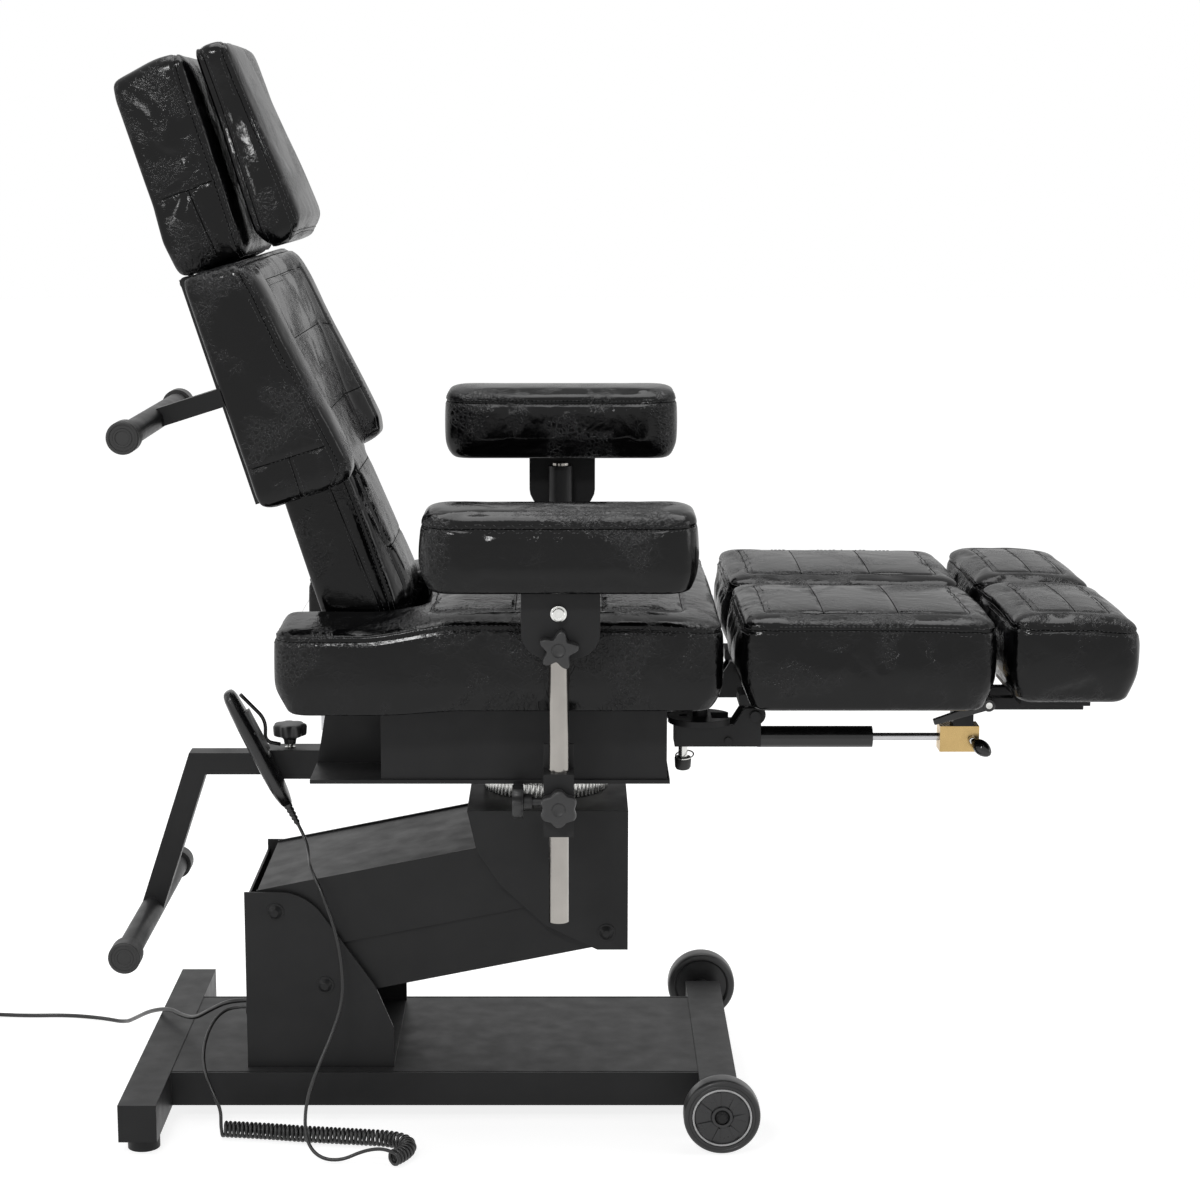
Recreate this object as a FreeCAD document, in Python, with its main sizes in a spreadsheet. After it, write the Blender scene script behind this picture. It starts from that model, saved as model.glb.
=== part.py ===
import FreeCAD, Part
import math
import os
import re
from FreeCAD import Vector, Placement, Rotation

# Electric-lift tattoo chair with split legs, swivel, reclining back and two armrests.
# +X is the foot end, +Z is up, the origin is on the floor under the middle of the chair.
# Lengths are millimetres and angles are degrees. X values of pieces are counted from
# the swivel axis, which stands swivel_x behind the origin.

doc = FreeCAD.newDocument("tattoo_chair")
sheet = doc.addObject("Spreadsheet::Sheet", "sizes")

# Driving dimensions
SIZES = {
    "swivel_x": -79,
    "turn_play": 0.05,
    "seat_gap": 0.3,
    "overrun": 5,
    "plate_wall": 3,

    "tube_side": 50,
    "tube_wall": 2.5,
    "glider_high": 17,
    "glider_radius": 21,
    "glider_inset": 30,
    "rear_bar_back": 527,
    "rear_bar_half": 275,
    "front_bar_ahead": 230,
    "front_bar_half": 220,
    "rail_wide": 30,
    "rail_low": 20,
    "rail_high": 40,
    "rail_lip": 3,
    "deck_half": 154,
    "deck_groove": 2.5,
    "deck_thick": 6,

    "wheel_radius": 50,
    "wheel_wide": 30,
    "wheel_inner": 245,
    "hub_radius": 39,
    "hub_recess": 5,
    "hub_boss": 11,
    "axle_radius": 6,
    "axle_head": 10,

    "column_rear": 401,
    "column_half": 133,
    "column_top": 310,
    "column_rear_top": 296,
    "column_flat": 319,
    "column_knee_x": 228,
    "column_knee_z": 180,
    "column_toe_x": 204,
    "column_toe_z": 122,
    "column_round": 70,
    "cable_hole": 9,
    "cable_hole_z": 139,
    "cable_hole_y": 98,
    "cable_hole_pitch": 26,

    "link_long": 383.9,
    "link_slope": 11.3,
    "upper_back": 360,
    "upper_pivot_z": 283,
    "lower_back": 295,
    "lower_pivot_z": 181.5,
    "pivot_radius": 8,
    "cap_radius": 12,
    "cap_high": 6,
    "upper_half": 125,
    "lower_half": 120.5,
    "arm_tail": 20,
    "arm_nose": 18,
    "lower_nose": 12,
    "upper_top": 31.8,
    "upper_drop": 61.5,
    "lower_bottom": 22.4,
    "lower_rise": 70,
    "cover_groove": 2.5,

    "carriage_half": 140,
    "carriage_top": 424,
    "carriage_rear": 103,
    "carriage_front": 110,
    "carriage_low": 233,
    "carriage_hip": 55,
    "carriage_knee": 102,
    "carriage_shin": 157,
    "carriage_front_low": 300,
    "ring_radius": 85,
    "ring_low_high": 15,
    "ring_high": 26,
    "spindle_radius": 30,
    "ring_bore_rim": 12,

    "motor_radius": 20,
    "motor_tail_radius": 15,
    "motor_offset": 46,
    "tube_start": 30,
    "tube_long": 210,
    "screw_radius": 9,
    "eye_radius": 20,
    "eye_hole": 16,
    "eye_wide": 26,

    "box_rear": 211,
    "box_front": 158,
    "box_half": 200,
    "box_low": 477,
    "box_high": 589.6,
    "floor_thick": 5,
    "floor_rear": 303,
    "floor_lip": 4,
    "turntable_radius": 80,

    "sleeve_side": 40,
    "sleeve_wall": 4.7,
    "sleeve_rear": 387,
    "sleeve_front": 150,
    "step_side": 30,
    "step_reach": 477,
    "step_front": 170,
    "step_drop_x": 68,
    "step_drop_z": 206,
    "grip_radius": 16,
    "grip_half": 205,
    "grip_cap_radius": 21,
    "grip_cap_wide": 26,
    "step_knob_x": 351,

    "knob_radius": 23,
    "knob_high": 18,
    "screw_shank": 5,
    "star_radius": 25,

    "hinge_back": 266,
    "hinge_z": 555,
    "hinge_radius": 8,
    "ear_y": 105,
    "ear_thick": 5,
    "ear_radius": 24,
    "back_lean": 17.6,
    "frame_side": 25,
    "frame_half": 92,
    "frame_top": 566,
    "frame_rear": -26,
    "frame_front": 18,
    "ledge_thick": 8,
    "lever_drop": 42,
    "lever_swing": 30.6,
    "lever_thick": 8,
    "spring_start": -120,
    "spring_long": 180,
    "back_rear": 5,
    "back_front": 104,
    "back_crown": 12,
    "shoulder_foot": 14,
    "shoulder_belly": 18,
    "shoulder_neck": 4,
    "shoulder_taper": 8,
    "shoulder_half": 287,
    "shoulder_low": 300,
    "shoulder_high": 592,
    "shoulder_round": 26,
    "waist_half": 140,
    "waist_low": 96,
    "waist_rear": 8,
    "waist_front": 118,
    "waist_crown": 22,
    "grip_z": 434,
    "grip_reach": 135,
    "grip_side": 25,

    "head_high": 855,
    "head_half": 152,
    "head_rear": -10,
    "head_front": 80,
    "pillow_front": 152,
    "pillow_waist_half": 118,
    "pillow_round": 18,
    "head_swell": 2,
    "pillow_rise": 2,
    "pillow_chin": 6,
    "pillow_dip": 4,
    "pillow_hollow": 8,
    "pillow_brow": 14,
    "head_hinge_rear": -19,
    "head_strap_high": 150,
    "head_knuckle": 8,
    "head_pin": 4,
    "head_strap_wide": 30,
    "head_strap_y": 60,

    "seat_rear": 334,
    "seat_front": 222,
    "seat_half": 290,
    "seat_low": 590,
    "seat_top": 705,
    "seat_rear_top": 690,
    "seat_rear_lift": 4,
    "seat_dip": 2,
    "seat_crown": 9,
    "seat_round": 24,
    "notch_half": 146,
    "notch_front": 160,
    "notch_round": 22,

    "leg_y": 150,
    "splay_x": 203,
    "splay_stud": 10,
    "splay_plate_thick": 6,
    "splay_plate_half": 45,
    "splay_z": 547.5,
    "splay_disc_radius": 42,
    "splay_disc_thick": 8,
    "bracket_front": 281,
    "bracket_low": 519,
    "bracket_thick": 6,
    "bracket_half": 24,
    "pitch_x": 273.4,
    "pitch_z": 560,
    "pitch_radius": 7,
    "leg_rail_rear": 252,
    "leg_rail_front": 578,
    "leg_rail_low": 574,
    "leg_rail_high": 14,
    "leg_rail_wide": 50,
    "leg_rear": 243,
    "leg_front": 572,
    "leg_width": 279,
    "leg_low": 588.3,
    "leg_top": 705,
    "leg_crown": 8,
    "leg_round": 24,
    "leg_fall": 3,
    "foot_rear": 580,
    "foot_front": 741,
    "foot_low": 600,
    "foot_top": 704,
    "foot_rise": 2,
    "foot_fall": 26,
    "foot_bar_side": 16,
    "foot_bar_long": 420,
    "foot_bar_out": 690,

    "spring_z": 527,
    "spring_tail_x": 238.6,
    "cylinder_rear": 278,
    "cylinder_front": 428,
    "cylinder_radius": 14,
    "rod_radius": 5,
    "rod_front": 515,
    "release_rear": 515,
    "release_front": 566,
    "release_high": 34,
    "release_wide": 30,
    "release_wall": 3,
    "release_pin": 5,
    "lever_reach": 28,
    "drop_x": 545,
    "drop_wide": 26,
    "lever_long": 74,
    "lever_wide": 9,
    "plunger_x": 181,
    "plunger_radius": 6,
    "plunger_head": 9,
    "plunger_long": 34,

    "post_x": 19,
    "post_y": 312,
    "post_radius": 12.5,
    "post_low": 327,
    "bar_side": 25,
    "guide_wall": 4,
    "bar_inner": 92,
    "guide_inner": 102,
    "guide_outer": 246,
    "bar_knob_y": 229,
    "block_side": 38,
    "block_top": 521,
    "block_low": 441,
    "block_plate_top": 552,
    "lower_star_z": 480,
    "bar_knob_x": 28,
    "plate_rear": 27,
    "plate_front": 70,
    "plate_low": 628,
    "plate_thick": 4,
    "upper_star_z": 681,
    "pad_pivot_z": 724,
    "pad_pivot_radius": 7,
    "collar_radius": 17,
    "collar_low": 664,
    "collar_high": 736,
    "pad_tilt": 15,
    "pad_rear": 148,
    "pad_front": 188,
    "pad_inner": 245,
    "pad_wide": 130,
    "pad_low": 755.3,
    "pad_top": 842,
    "pad_crown": 6,
    "pad_round": 22,
    "far_lift": 92,

    "handset_x": 419,
    "handset_z": 570,
    "handset_y": 46,
    "handset_long": 175,
    "handset_tilt": 26.4,
    "handset_wide": 46,
    "handset_thick": 22,
    "key_long": 62,
    "key_wide": 24,
    "key_high": 4,
    "rock_pin": 1.5,
    "rock_pin_deep": 2,
    "relief_long": 32,
    "relief_radius": 6,
    "wire_radius": 2.5,
    "hook_grip": 12,
    "hook_start": 13,
    "hook_knee": 32,
    "hook_over": 30,
    "hook_rise": 38,

    "cord_radius": 3,
    "lead_radius": 2.3,
    "curl_radius": 11,
    "gland_long": 9,
    "plug_wide": 26,
    "plug_long": 42,
    "plug_thick": 20,
    "pin_apart": 19,
    "pin_radius": 2.4,
    "pin_long": 19,
    "coil_turn_radius": 33,
    "coil_turns": 6,
    "curl_pitch": 5.6,
}

# Points that the cords pass through, as X, Y and Z. The mains points count from the gland.
ROUTES = {
    "mains": [(-26, 0, 139), (-58, 30, 115), (-84, 62, 91), (-108, 98, 82), (-132, 134, 80),
        (-166, 176, 62), (-196, 226, 34), (-222, 276, 8), (-262, 308, 3.5), (-318, 322, 3.2),
        (-378, 318, 3.5), (-436, 326, 3.2), (-484, 326, 3.2)],
    "tail": [(-58, -3, 37), (-92, -10, 16), (-124, -13, 10.3), (-146, -13, 10.3)],
    "hang": [(-319.5, -74, 345), (-315, -112, 340), (-300, -147, 325), (-278, -156, 266), (-269, -164, 218),
        (-268, -174, 172), (-282, -194, 132), (-298, -216, 98), (-310, -244, 66), (-311, -272, 38),
        (-303, -292, 17), (-285, -301, 5), (-260, -302, 4), (-234, -296, 14)],
    "curl": [(-194, -314, 11.6), (-171, -285, 11.6), (-186, -251, 11.6), (-256, -241, 11.6),
        (-318, -233, 11.6), (-372, -222, 11.6), (-424, -216, 11.6)],
    "climb": [(-426, -221, 40), (-438, -212, 62), (-450, -194, 82), (-456, -168, 98), (-454, -140, 116),
        (-444, -116, 132), (-426, -98, 139)],
}

# How much of the shorter run each bend of a cord takes, and the part of a turn used for a heading.
BEND_SHARE = 0.45
CURL_STEP_SHARE = 0.02

NAMES = list(SIZES)
for row, (alias, figure) in enumerate(SIZES.items(), start=1):
    sheet.set("A" + str(row), str(figure))
    sheet.setAlias("A" + str(row), alias)
doc.recompute()

WORD = re.compile(r"[a-z][a-z0-9_]*")


# Turns the names in a formula into links to the sheet's cells.
def linked(formula):
    return WORD.sub(lambda hit: "sizes." + hit.group(0) if hit.group(0) in NAMES else hit.group(0), str(formula))


# Works a formula out as a plain number.
def worth(formula):
    answer = sheet.evalExpression(linked(formula))
    return float(getattr(answer, "Value", answer))


def bind(item, field, formula):
    item.setExpression(field, linked(formula))


# A place to build in: its local X runs along (cos, sin) of its slope, seen from the near side.
class Stand:
    def __init__(self, x, z, slope="0"):
        self.x = x
        self.z = z
        self.slope = slope

    def spot(self, x, z):
        if self.slope == "0":
            return f"swivel_x + ({self.x}) + ({x})", f"({self.z}) + ({z})"
        run = f"swivel_x + ({self.x}) + ({x}) * cos({self.slope}) - ({z}) * sin({self.slope})"
        rise = f"({self.z}) + ({x}) * sin({self.slope}) + ({z}) * cos({self.slope})"
        return run, rise

    def placement(self):
        turn = Rotation(Vector(0, -1, 0), worth(self.slope))
        return Placement(Vector(worth("swivel_x + " + self.x), 0, worth(self.z)), turn)


FLOOR = Stand("0", "0")


def put(item, stand, x, y, z, slope=None):
    run, rise = stand.spot(x, z)
    slope = stand.slope if slope is None else slope
    item.Placement = Placement(Vector(), Rotation(Vector(0, -1, 0), worth("glider_high")))
    bind(item, "Placement.Base.x", run)
    bind(item, "Placement.Base.y", y)
    bind(item, "Placement.Base.z", rise)
    bind(item, "Placement.Rotation.Angle", slope)


def box(name, stand, x, y, z, long, wide, high):
    item = doc.addObject("Part::Box", name)
    bind(item, "Length", long)
    bind(item, "Width", wide)
    bind(item, "Height", high)
    put(item, stand, x, y, z)
    return item


# A round bar that starts at x, y, z and runs along the stand's X, Y or Z.
def round_bar(name, stand, axis, x, y, z, radius, long):
    item = doc.addObject("Part::Cylinder", name)
    bind(item, "Radius", radius)
    bind(item, "Height", long)
    if axis == "Y":
        run, rise = stand.spot(x, z)
        item.Placement = Placement(Vector(), Rotation(Vector(-1, 0, 0), 90))
        bind(item, "Placement.Base.x", run)
        bind(item, "Placement.Base.y", y)
        bind(item, "Placement.Base.z", rise)
    else:
        quarter = " - 90" if axis == "X" else ""
        put(item, stand, x, y, z, f"({stand.slope}){quarter}")
    return item


# A dome on the end of a bar along Y: side is 1 or -1, the dome's flat lies at y.
def dome(name, stand, x, y, z, radius, high, side):
    item = doc.addObject("Part::Cone", name)
    bind(item, "Radius1", radius)
    bind(item, "Radius2", f"{radius} * dome_share" if "dome_share" in NAMES else f"{radius} / 2")
    bind(item, "Height", high)
    run, rise = stand.spot(x, z)
    item.Placement = Placement(Vector(), Rotation(Vector(-side, 0, 0), 90))
    bind(item, "Placement.Base.x", run)
    bind(item, "Placement.Base.y", y)
    bind(item, "Placement.Base.z", rise)
    return item


def cut(name, base, tools):
    tool = tools[0] if len(tools) == 1 else fuse(name + "_tools", tools)
    item = doc.addObject("Part::Cut", name)
    item.Base = base
    item.Tool = tool
    return item


def fuse(name, pieces):
    item = doc.addObject("Part::MultiFuse", name)
    item.Shapes = pieces
    return item


# A flat plate that stands in the XZ plane, from y to y + thick. Corners are rounded by their number.
def side_plate(name, stand, points, y, thick, rounds=None):
    body = doc.addObject("PartDesign::Body", name)
    sketch = body.newObject("Sketcher::SketchObject", name + "_outline")
    plane = [item for item in body.Origin.OriginFeatures if item.Role == "XZ_Plane"][0]
    sketch.AttachmentSupport = [(plane, "")]
    sketch.MapMode = "FlatFace"
    bind(sketch, "AttachmentOffset.Base.z", f"-(({y}) + ({thick}))")
    corners = [(worth(x), worth(z)) for x, z in points]
    count = len(points)
    for here in range(count):
        after = (here + 1) % count
        sketch.addGeometry(Part.LineSegment(Vector(*corners[here], 0), Vector(*corners[after], 0)))
    for here in range(count):
        sketch.addConstraint(Sketcher.Constraint("Coincident", here, 2, (here + 1) % count, 1))
    for here, (x, z) in enumerate(points):
        for kind, formula, place in (("DistanceX", x, corners[here][0]), ("DistanceY", z, corners[here][1])):
            mark = sketch.addConstraint(Sketcher.Constraint(kind, -1, 1, here, 1, place))
            bind(sketch, f"Constraints[{mark}]", formula)
    pad = body.newObject("PartDesign::Pad", name + "_pad")
    pad.Profile = sketch
    bind(pad, "Length", thick)
    if rounds:
        doc.recompute()
        for number, radius in rounds.items():
            x, z = corners[number]
            tip = body.Tip
            edges = [
                "Edge%d" % (mark + 1)
                for mark, edge in enumerate(tip.Shape.Edges)
                if all(math.hypot(end.X - x, end.Z - z) < TINY for end in edge.Vertexes)
            ]
            fillet = body.newObject("PartDesign::Fillet", name + "_round%d" % number)
            fillet.Base = (tip, edges)
            bind(fillet, "Radius", radius)
            body.Tip = fillet
            doc.recompute()
    put(body, stand, "0", "0", "0")
    return body


TINY = 1e-4
NODES = {}


# One exported piece: its solids lie side by side in one group.
def node(name, pieces):
    for piece in pieces:
        piece.Label = name if len(pieces) == 1 else piece.Label
    if len(pieces) == 1:
        NODES[name] = pieces[0]
        return pieces[0]
    group = doc.addObject("Part::Compound", name)
    group.Links = pieces
    group.Label = name
    NODES[name] = group
    return group


# A solid whose shape is worked out in code from the sheet's values.
def formed(name, shape, placement=None):
    item = doc.addObject("Part::Feature", name)
    item.Shape = shape
    if placement:
        item.Placement = placement
    return item


import Sketcher

SIDES = (("near", -1), ("far", 1))


# Mirrors a stretch of Y from the far side to the near side when side is -1.
def y_span(side, inner, long):
    return f"({inner})" if side > 0 else f"-(({inner}) + ({long}))"


# The welded base frame: two crossbars, two rails, plugs in the tube ends and glider feet.
def make_base():
    pieces = []
    tube_low = "glider_high"
    for name, middle, half in (("rear", "-rear_bar_back", "rear_bar_half"), ("front", "front_bar_ahead", "front_bar_half")):
        outer = box(name + "_tube", FLOOR, f"{middle} - tube_side / 2", f"-{half}", tube_low,
                    "tube_side", f"2 * {half}", "tube_side")
        inner = box(name + "_tube_bore", FLOOR, f"{middle} - tube_side / 2 + tube_wall", f"-{half} - overrun",
                    f"{tube_low} + tube_wall", "tube_side - 2 * tube_wall", f"2 * ({half} + overrun)",
                    "tube_side - 2 * tube_wall")
        tools = [inner]
        if name == "front":
            tools.append(round_bar("front_tube_axle_hole", FLOOR, "Y", middle, f"-{half} - overrun", "wheel_radius",
                                   "axle_radius", "tube_wall"))
        pieces.append(cut(name + "_crossbar", outer, tools))
        for label, side in SIDES:
            plug = box(f"{name}_plug_{label}", FLOOR, f"{middle} - tube_side / 2 + tube_wall",
                       y_span(side, f"{half} - plate_wall", "plate_wall"), f"{tube_low} + tube_wall",
                       "tube_side - 2 * tube_wall", "plate_wall", "tube_side - 2 * tube_wall")
            if name == "front":
                hole = round_bar(f"plug_hole_{label}", FLOOR, "Y", middle,
                                 y_span(side, f"{half} - overrun", "2 * overrun"), "wheel_radius", "axle_radius",
                                 "2 * overrun")
                plug = cut(f"{name}_plug_drilled_{label}", plug, [hole])
            pieces.append(plug)
    for label, side in SIDES:
        rear = "-rear_bar_back + tube_side / 2"
        long = "rear_bar_back + front_bar_ahead - tube_side"
        rail = box("rail_" + label, FLOOR, rear, y_span(side, "deck_half - rail_wide", "rail_wide"), "rail_low",
                   long, "rail_wide", "rail_high")
        lip = box("rail_lip_" + label, FLOOR, rear, y_span(side, "deck_half - rail_lip", "rail_lip"),
                  "rail_low + rail_high", long, "rail_lip", "deck_thick")
        pieces.append(fuse("deck_rail_" + label, [rail, lip]))
        pieces.append(round_bar("glider_" + label, FLOOR, "Z", "-rear_bar_back + plate_wall",
                                f"{side} * (rear_bar_half - glider_inset)", "0", "glider_radius", "glider_high"))
        axle_in = "front_bar_half - plate_wall"
        shank = round_bar("axle_shank_" + label, FLOOR, "Y", "front_bar_ahead",
                          y_span(side, axle_in, "wheel_inner + wheel_wide - front_bar_half + 2 * plate_wall"),
                          "wheel_radius", "axle_radius", "wheel_inner + wheel_wide - front_bar_half + 2 * plate_wall")
        spacer = round_bar("axle_spacer_" + label, FLOOR, "Y", "front_bar_ahead",
                           y_span(side, "front_bar_half", "wheel_inner + hub_recess - front_bar_half - seat_gap"),
                           "wheel_radius", "hub_boss", "wheel_inner + hub_recess - front_bar_half - seat_gap")
        nut_y = "wheel_inner + wheel_wide - hub_recess + seat_gap"
        nut = dome("axle_nut_" + label, FLOOR, "front_bar_ahead", f"{side} * ({nut_y})", "wheel_radius",
                   "axle_head", "hub_recess + plate_wall", side)
        pieces.append(fuse("axle_" + label, [shank, spacer, nut]))
    node("base_frame", pieces)
    node("deck_plate", [box("deck_sheet", FLOOR, "-rear_bar_back + tube_side / 2",
                            "-(deck_half - rail_lip - deck_groove)", "rail_low + rail_high",
                            "rear_bar_back + front_bar_ahead - tube_side",
                            "2 * (deck_half - rail_lip - deck_groove)", "deck_thick")])


# A wheel: rubber tyre round a recessed hub with a bore for the axle.
def make_wheels():
    for label, side in SIDES:
        low = y_span(side, "wheel_inner", "wheel_wide")
        tyre = round_bar("tyre_blank_" + label, FLOOR, "Y", "front_bar_ahead", low, "wheel_radius", "wheel_radius",
                         "wheel_wide")
        tyre_soft = doc.addObject("Part::Fillet", "tyre_round_" + label)
        tyre_soft.Base = tyre
        doc.recompute()
        rims = [mark + 1 for mark, edge in enumerate(tyre.Shape.Edges) if edge.Closed]
        tyre_soft.Edges = [(mark, worth("hub_recess"), worth("hub_recess")) for mark in rims]
        eye = round_bar("tyre_eye_" + label, FLOOR, "Y", "front_bar_ahead",
                        y_span(side, "wheel_inner - overrun", "wheel_wide + 2 * overrun"), "wheel_radius",
                        "hub_radius", "wheel_wide + 2 * overrun")
        tyre_ring = cut("tyre_" + label, tyre_soft, [eye])
        web = round_bar("hub_web_" + label, FLOOR, "Y", "front_bar_ahead",
                        y_span(side, "wheel_inner + hub_recess", "wheel_wide - 2 * hub_recess"), "wheel_radius",
                        "hub_radius", "wheel_wide - 2 * hub_recess")
        bore = round_bar("hub_bore_" + label, FLOOR, "Y", "front_bar_ahead",
                         y_span(side, "wheel_inner - overrun", "wheel_wide + 2 * overrun"), "wheel_radius",
                         "axle_radius + turn_play", "wheel_wide + 2 * overrun")
        hub = cut("hub_" + label, web, [bore])
        node("wheel_" + label, [tyre_ring, hub])


# A pivot shaft across the machine, with a washer and a domed cap at both ends.
def pivot_shaft(name, x, z, half):
    shank = round_bar(name + "_shank", FLOOR, "Y", x, f"-({half}) - overrun / 5", z, "pivot_radius",
                      f"2 * ({half}) + 2 * overrun / 5")
    pieces = [shank]
    for label, side in SIDES:
        washer = round_bar(f"{name}_washer_{label}", FLOOR, "Y", x, y_span(side, half, "cap_high / 4"), z,
                           "cap_radius", "cap_high / 4")
        cap = dome(f"{name}_cap_{label}", FLOOR, x, f"{side} * (({half}) + cap_high / 4)", z,
                   "cap_radius * 0.8", "cap_high", side)
        pieces += [washer, cap]
    return fuse(name, pieces)


UPPER_X = "-upper_back"
LOWER_X = "-lower_back"
HEAD_X = "-upper_back + link_long * cos(link_slope)"
HEAD_Z = "upper_pivot_z + link_long * sin(link_slope)"
FOOT_X = "-lower_back + link_long * cos(link_slope)"
FOOT_Z = "lower_pivot_z + link_long * sin(link_slope)"
DECK_TOP = "rail_low + rail_high + deck_thick"


# The fixed column: two side plates, a rear plate and a foot plate, with two pivot shafts.
def make_column():
    outline = [("-column_rear", DECK_TOP), ("-column_toe_x", DECK_TOP), ("-column_toe_x", "column_toe_z"),
               ("-column_knee_x", "column_knee_z"), ("-column_flat", "column_top"), ("-column_rear", "column_top")]
    pieces = []
    for label, side in SIDES:
        plate = side_plate("column_side_blank_" + label, FLOOR, outline,
                           y_span(side, "column_half - plate_wall", "plate_wall"), "plate_wall", {4: "column_round"})
        holes = [round_bar(f"column_hole_{label}_{number}", FLOOR, "Y", x, y_span(side, "upper_half", "overrun * 4"),
                           z, "pivot_radius + turn_play", "overrun * 4")
                 for number, (x, z) in enumerate(((UPPER_X, "upper_pivot_z"), (LOWER_X, "lower_pivot_z")))]
        pieces.append(cut("column_side_" + label, plate, holes))
    rear = box("column_rear_blank", FLOOR, "-column_rear", "-(column_half - plate_wall)", DECK_TOP, "plate_wall",
               "2 * (column_half - plate_wall)", f"column_rear_top - ({DECK_TOP})")
    holes = [round_bar(f"cable_hole_{number}", FLOOR, "X", "-column_rear - overrun",
                       f"-cable_hole_y + {number} * cable_hole_pitch", "cable_hole_z", "cable_hole",
                       "plate_wall + 2 * overrun") for number in range(2)]
    pieces.append(cut("column_rear_plate", rear, holes))
    pieces.append(box("column_foot", FLOOR, "-column_rear + plate_wall", "-(column_half - plate_wall)", DECK_TOP,
                      "column_rear - column_toe_x - plate_wall", "2 * (column_half - plate_wall)", "plate_wall"))
    pieces.append(pivot_shaft("upper_shaft", UPPER_X, "upper_pivot_z", "column_half"))
    pieces.append(pivot_shaft("lower_shaft", LOWER_X, "lower_pivot_z", "column_half"))
    node("lift_column", pieces)


# A lift arm: a web and two flanges, drilled for the two pivots at its ends.
def lift_arm(name, stand, half, nose, low, high, web_z):
    pieces = []
    outline = [("-arm_tail", low), (f"link_long + {nose}", low), (f"link_long + {nose}", high), ("-arm_tail", high)]
    for label, side in SIDES:
        flange = side_plate(f"{name}_flange_blank_{label}", stand, outline,
                            y_span(side, f"{half} - plate_wall", "plate_wall"), "plate_wall")
        holes = [round_bar(f"{name}_hole_{label}_{number}", stand, "Y", x,
                           y_span(side, f"{half} - overrun * 2", "overrun * 4"), "0", "pivot_radius + turn_play",
                           "overrun * 4") for number, x in enumerate(("0", "link_long"))]
        pieces.append(cut(f"{name}_flange_{label}", flange, holes))
    pieces.append(box(name + "_web", stand, "-arm_tail", f"-({half} - plate_wall)", web_z, f"link_long + {nose} + arm_tail",
                      f"2 * ({half} - plate_wall)", "plate_wall"))
    return pieces


UPPER = Stand(UPPER_X, "upper_pivot_z", "link_slope")
LOWER = Stand(LOWER_X, "lower_pivot_z", "link_slope")


def make_arms():
    upper = lift_arm("upper_arm", UPPER, "upper_half", "arm_nose", "-upper_drop", "upper_top",
                     "upper_top - plate_wall - cover_groove")
    node("upper_arm", upper)
    node("lower_arm", lift_arm("lower_arm", LOWER, "lower_half", "lower_nose", "-lower_bottom", "lower_rise",
                               "-lower_bottom"))


# The carriage on the arms' front ends: it stays level and carries the swivel ring.
def make_carriage():
    outline = [("carriage_front", "carriage_low"), ("carriage_front", "carriage_top"),
               ("-carriage_rear", "carriage_top"), ("-carriage_rear * 0.88", "carriage_top - carriage_hip"),
               ("-carriage_rear * 0.58", "carriage_top - carriage_knee"),
                 ("0", "carriage_top - carriage_shin"),
               ("carriage_front * 0.63", "carriage_low")]
    pieces = []
    for label, side in SIDES:
        plate = side_plate("carriage_side_blank_" + label, FLOOR, outline,
                           y_span(side, "carriage_half - plate_wall", "plate_wall"), "plate_wall")
        holes = [round_bar(f"carriage_hole_{label}_{number}", FLOOR, "Y", x,
                           y_span(side, "carriage_half - overrun * 2", "overrun * 4"), z,
                           "pivot_radius + turn_play", "overrun * 4")
                 for number, (x, z) in enumerate(((HEAD_X, HEAD_Z), (FOOT_X, FOOT_Z)))]
        pieces.append(cut("carriage_side_" + label, plate, holes))
    inside = "2 * (carriage_half - plate_wall)"
    pieces.append(box("carriage_lid", FLOOR, "-carriage_rear", "-(carriage_half - plate_wall)",
                      "carriage_top - plate_wall", "carriage_rear + carriage_front", inside, "plate_wall"))
    pieces.append(box("carriage_front_plate", FLOOR, "carriage_front - plate_wall", "-(carriage_half - plate_wall)",
                      "carriage_front_low", "plate_wall", inside, "carriage_top - plate_wall - carriage_front_low"))
    pieces.append(pivot_shaft("head_shaft", HEAD_X, HEAD_Z, "carriage_half"))
    pieces.append(pivot_shaft("foot_shaft", FOOT_X, FOOT_Z, "carriage_half"))
    node("carriage", pieces)
    flange = round_bar("ring_flange", FLOOR, "Z", "0", "0", "carriage_top", "ring_radius", "ring_low_high")
    neck = round_bar("ring_neck", FLOOR, "Z", "0", "0", "carriage_top", "ring_radius - ring_bore_rim", "ring_high")
    bore = round_bar("ring_bore", FLOOR, "Z", "0", "0", "carriage_top - overrun", "spindle_radius + turn_play",
                     "ring_high + 2 * overrun")
    node("swivel_ring", [cut("swivel_ring_turned", fuse("ring_blank", [flange, neck]), [bore])])


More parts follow.
